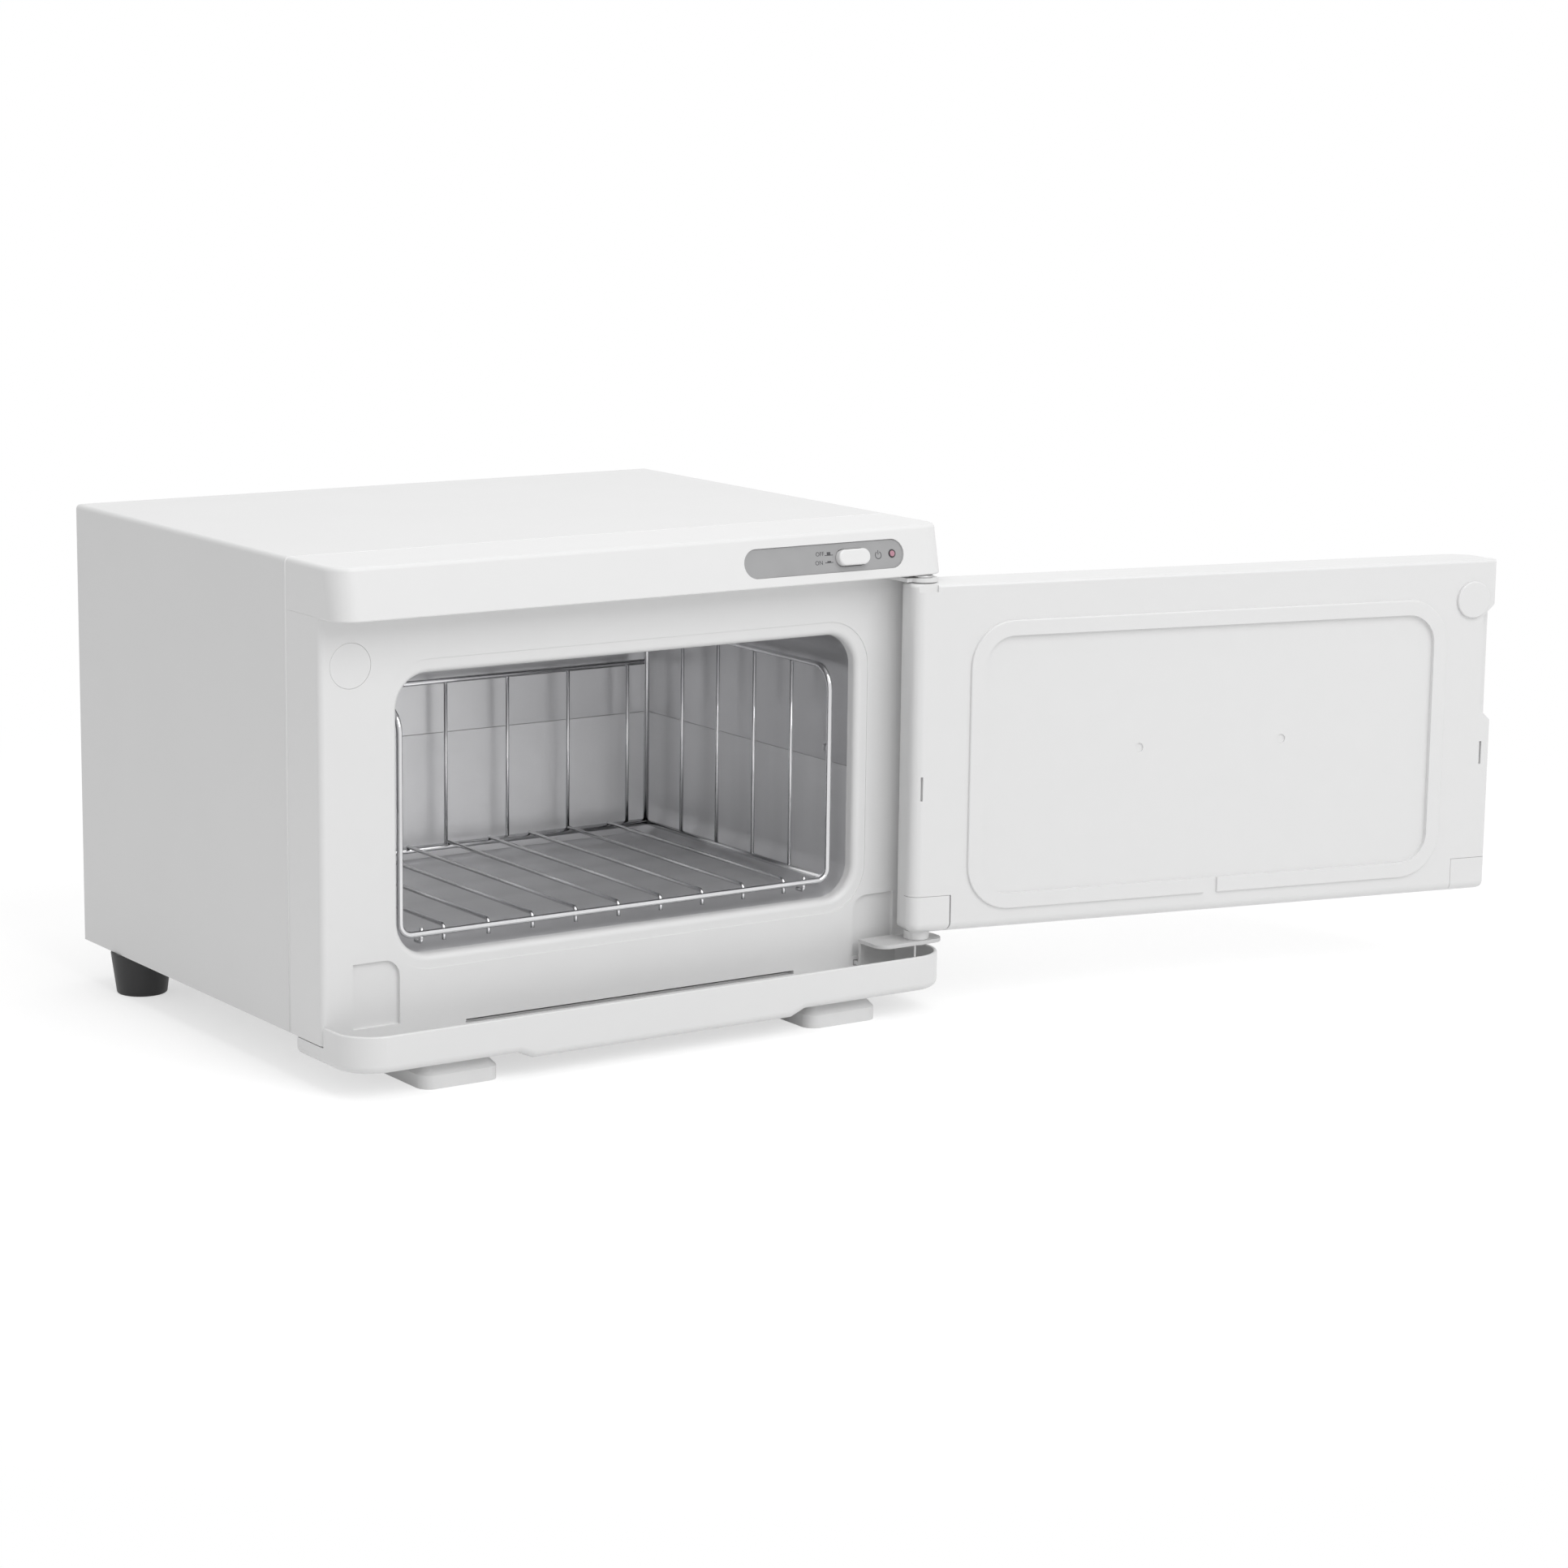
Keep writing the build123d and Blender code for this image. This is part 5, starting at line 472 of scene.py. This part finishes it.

# ---------------------------------------------------------------- hinge
# Steel brackets screwed to the cabinet, the lower bent and painted grey-white, its grey deepened by painted
# shade, the upper flat and white, each with a plated pin. The door turns on a white plastic washer.
# The lower bracket's colour is its grey-white paint darkened further as painted shade, for the shadow its
# plate casts on its wall.
lower_bracket_paint_and_shade = finish("grey_white_paint_and_painted_shade", (0.62, 0.62, 0.62), 0.45, grain=600, peel=0.25, drift=0.05)
eased("lower_hinge_bracket", lower_bracket_paint_and_shade, edge=0.5)
eased("upper_hinge_bracket", white_paint, edge=0.5)
eased("hinge_washer", white_plastic, edge=0.4)
for node in ("lower_hinge_pin", "upper_hinge_pin"):
    eased(node, zinc, edge=0.3)
coat(zinc, "lower_bracket_screws", "upper_bracket_screws")

# ---------------------------------------------------------------- magnet catch
# Black ferrite magnet pressed into the front frame under a flush white plastic disc.
# It holds the shut door by the steel keeper.
ferrite = finish("black_ferrite", (0.05, 0.05, 0.05), 0.60, metal=0.4, grain=1500, drift=0.1)
coat(ferrite, "catch_magnet")
eased("magnet_cover", white_plastic, edge=0.2)

# ---------------------------------------------------------------- drip tray
# White plastic tray, one moulding with a tall rounded front, for the water that runs
# off the door and the frame. It slides out forwards over the front feet.
eased("drip_tray", white_plastic, edge=0.5)

# ---------------------------------------------------------------- feet
# Pale rubber front feet with chamfered tops and black rubber cones at the rear, each
# held to the base plate by a plated screw.
pale_rubber = finish("pale_grey_rubber", (0.78, 0.78, 0.78), 0.55, grain=1600, peel=0.1, drift=0.02)
black_rubber = finish("black_rubber", (0.018, 0.018, 0.019), 0.48, grain=1200, peel=0.1, drift=0.15)
for node in ("front_foot_left", "front_foot_right"):
    eased(node, pale_rubber, edge=1.0)
for node in ("rear_foot_left", "rear_foot_right"):
    eased(node, black_rubber, edge=0.8)
coat(zinc, "foot_screws")

# ---------------------------------------------------------------- studio
# A long lens from the front left, a large soft lamp above and in front, a weaker one
# overhead, an even white room, and a white floor that fades out round the cabinet.
scene = bpy.context.scene
scene.view_settings.view_transform = "Standard"
EYE = (-1.04778, -1.78275, 0.48754)
YAW = math.radians(34.56)
PITCH = math.radians(10.91)
ROLL = math.radians(0.74)
forward = Vector((math.sin(YAW) * math.cos(PITCH), math.cos(YAW) * math.cos(PITCH), -math.sin(PITCH)))
level = Vector((math.cos(YAW), -math.sin(YAW), 0))
upright = level.cross(forward)
side = math.cos(ROLL) * level + math.sin(ROLL) * upright
head = -math.sin(ROLL) * level + math.cos(ROLL) * upright
lens = bpy.data.cameras.new("camera")
lens.sensor_fit = "HORIZONTAL"
lens.sensor_width = 36.0
lens.lens = 92.56
lens.clip_end = 50
camera = bpy.data.objects.new("camera", lens)
scene.collection.objects.link(camera)
camera.matrix_world = Matrix.Translation(EYE) @ Matrix((side, head, -forward)).transposed().to_4x4()
scene.camera = camera

LAMP_AIM = (0.05, -0.05, 0.1)


def hang_lamp(name, size, watts, place):
    """A square soft lamp that shines straight down."""
    light = bpy.data.lights.new(name, "AREA")
    light.shape = "SQUARE"
    light.size = size
    light.energy = watts
    lamp = bpy.data.objects.new(name, light)
    scene.collection.objects.link(lamp)
    lamp.location = place
    return lamp


soft_lamp = hang_lamp("soft_lamp", 1.5, 18, (0.25, -1.70, 1.55))
soft_lamp.rotation_euler = (Vector(LAMP_AIM) - soft_lamp.location).to_track_quat("-Z", "Y").to_euler()
hang_lamp("top_lamp", 1.2, 5, (0.1, 0.05, 1.6))


def seen_white(tree):
    """In a world's nodes: camera and mirror rays see white, other rays the room's light."""
    nodes, links = tree.nodes, tree.links
    path = nodes.new("ShaderNodeLightPath")
    first = nodes.new("ShaderNodeMath")
    first.operation = "MAXIMUM"
    links.new(path.outputs["Is Camera Ray"], first.inputs[0])
    links.new(path.outputs["Is Glossy Ray"], first.inputs[1])
    second = nodes.new("ShaderNodeMath")
    second.operation = "MAXIMUM"
    links.new(first.outputs[0], second.inputs[0])
    links.new(path.outputs["Is Transmission Ray"], second.inputs[1])
    return second.outputs[0]


ROOM_LIGHT = 0.59
room = bpy.data.worlds.new("white_room")
scene.world = room
room.use_nodes = True
tree = room.node_tree
tree.nodes.clear()
shown = tree.nodes.new("ShaderNodeBackground")
shown.inputs["Color"].default_value = (1, 1, 1, 1)
shown.inputs["Strength"].default_value = 1.0
lit = tree.nodes.new("ShaderNodeBackground")
lit.inputs["Color"].default_value = (1, 1, 1, 1)
lit.inputs["Strength"].default_value = ROOM_LIGHT
choice = tree.nodes.new("ShaderNodeMixShader")
out = tree.nodes.new("ShaderNodeOutputWorld")
tree.links.new(seen_white(tree), choice.inputs["Fac"])
tree.links.new(lit.outputs[0], choice.inputs[1])
tree.links.new(shown.outputs[0], choice.inputs[2])
tree.links.new(choice.outputs[0], out.inputs["Surface"])

FLOOR_R = 3.0
FLOOR_MIDDLE = (0.1, 0, -0.022)
FLOOR_SIDES = 96
FLOOR_GREY = (0.85, 0.85, 0.85, 1)
PAPER_GREY = (0.55, 0.55, 0.55, 1)
PAPER_GLOW = 0.58
FADE_MIDDLE_X = 0.13
FADE_FROM = 0.45
FADE_TO = 0.85
ground = bmesh.new()
bmesh.ops.create_circle(ground, cap_ends=True, segments=FLOOR_SIDES, radius=FLOOR_R)
bmesh.ops.translate(ground, verts=ground.verts, vec=FLOOR_MIDDLE)
floor_mesh = bpy.data.meshes.new("floor")
ground.to_mesh(floor_mesh)
ground.free()
floor = bpy.data.objects.new("floor", floor_mesh)
scene.collection.objects.link(floor)
white_floor = bpy.data.materials.new("white_floor")
white_floor.use_nodes = True
tree = white_floor.node_tree
tree.nodes.clear()
matt = tree.nodes.new("ShaderNodeBsdfDiffuse")
matt.inputs["Color"].default_value = FLOOR_GREY
faint = tree.nodes.new("ShaderNodeBsdfDiffuse")
faint.inputs["Color"].default_value = PAPER_GREY
glow = tree.nodes.new("ShaderNodeEmission")
glow.inputs["Strength"].default_value = PAPER_GLOW
paper = tree.nodes.new("ShaderNodeAddShader")
tree.links.new(faint.outputs[0], paper.inputs[0])
tree.links.new(glow.outputs[0], paper.inputs[1])
blank = tree.nodes.new("ShaderNodeEmission")
place = tree.nodes.new("ShaderNodeTexCoord")
spread = tree.nodes.new("ShaderNodeMapping")
spread.inputs["Location"].default_value = (-FADE_MIDDLE_X, 0, 0)
length = tree.nodes.new("ShaderNodeVectorMath")
length.operation = "LENGTH"
fade = tree.nodes.new("ShaderNodeMapRange")
fade.interpolation_type = "SMOOTHSTEP"
fade.inputs["From Min"].default_value = FADE_FROM
fade.inputs["From Max"].default_value = FADE_TO
tree.links.new(place.outputs["Object"], spread.inputs["Vector"])
tree.links.new(spread.outputs["Vector"], length.inputs[0])
tree.links.new(length.outputs["Value"], fade.inputs["Value"])
near = tree.nodes.new("ShaderNodeMixShader")
tree.links.new(fade.outputs["Result"], near.inputs["Fac"])
tree.links.new(paper.outputs[0], near.inputs[1])
tree.links.new(blank.outputs[0], near.inputs[2])
choice = tree.nodes.new("ShaderNodeMixShader")
tree.links.new(seen_white(tree), choice.inputs["Fac"])
tree.links.new(matt.outputs[0], choice.inputs[1])
tree.links.new(near.outputs[0], choice.inputs[2])
clear = tree.nodes.new("ShaderNodeBsdfTransparent")
facing = tree.nodes.new("ShaderNodeNewGeometry")
under = tree.nodes.new("ShaderNodeMixShader")
tree.links.new(facing.outputs["Backfacing"], under.inputs["Fac"])
tree.links.new(choice.outputs[0], under.inputs[1])
tree.links.new(clear.outputs[0], under.inputs[2])
out = tree.nodes.new("ShaderNodeOutputMaterial")
tree.links.new(under.outputs[0], out.inputs["Surface"])
floor_mesh.materials.append(white_floor)
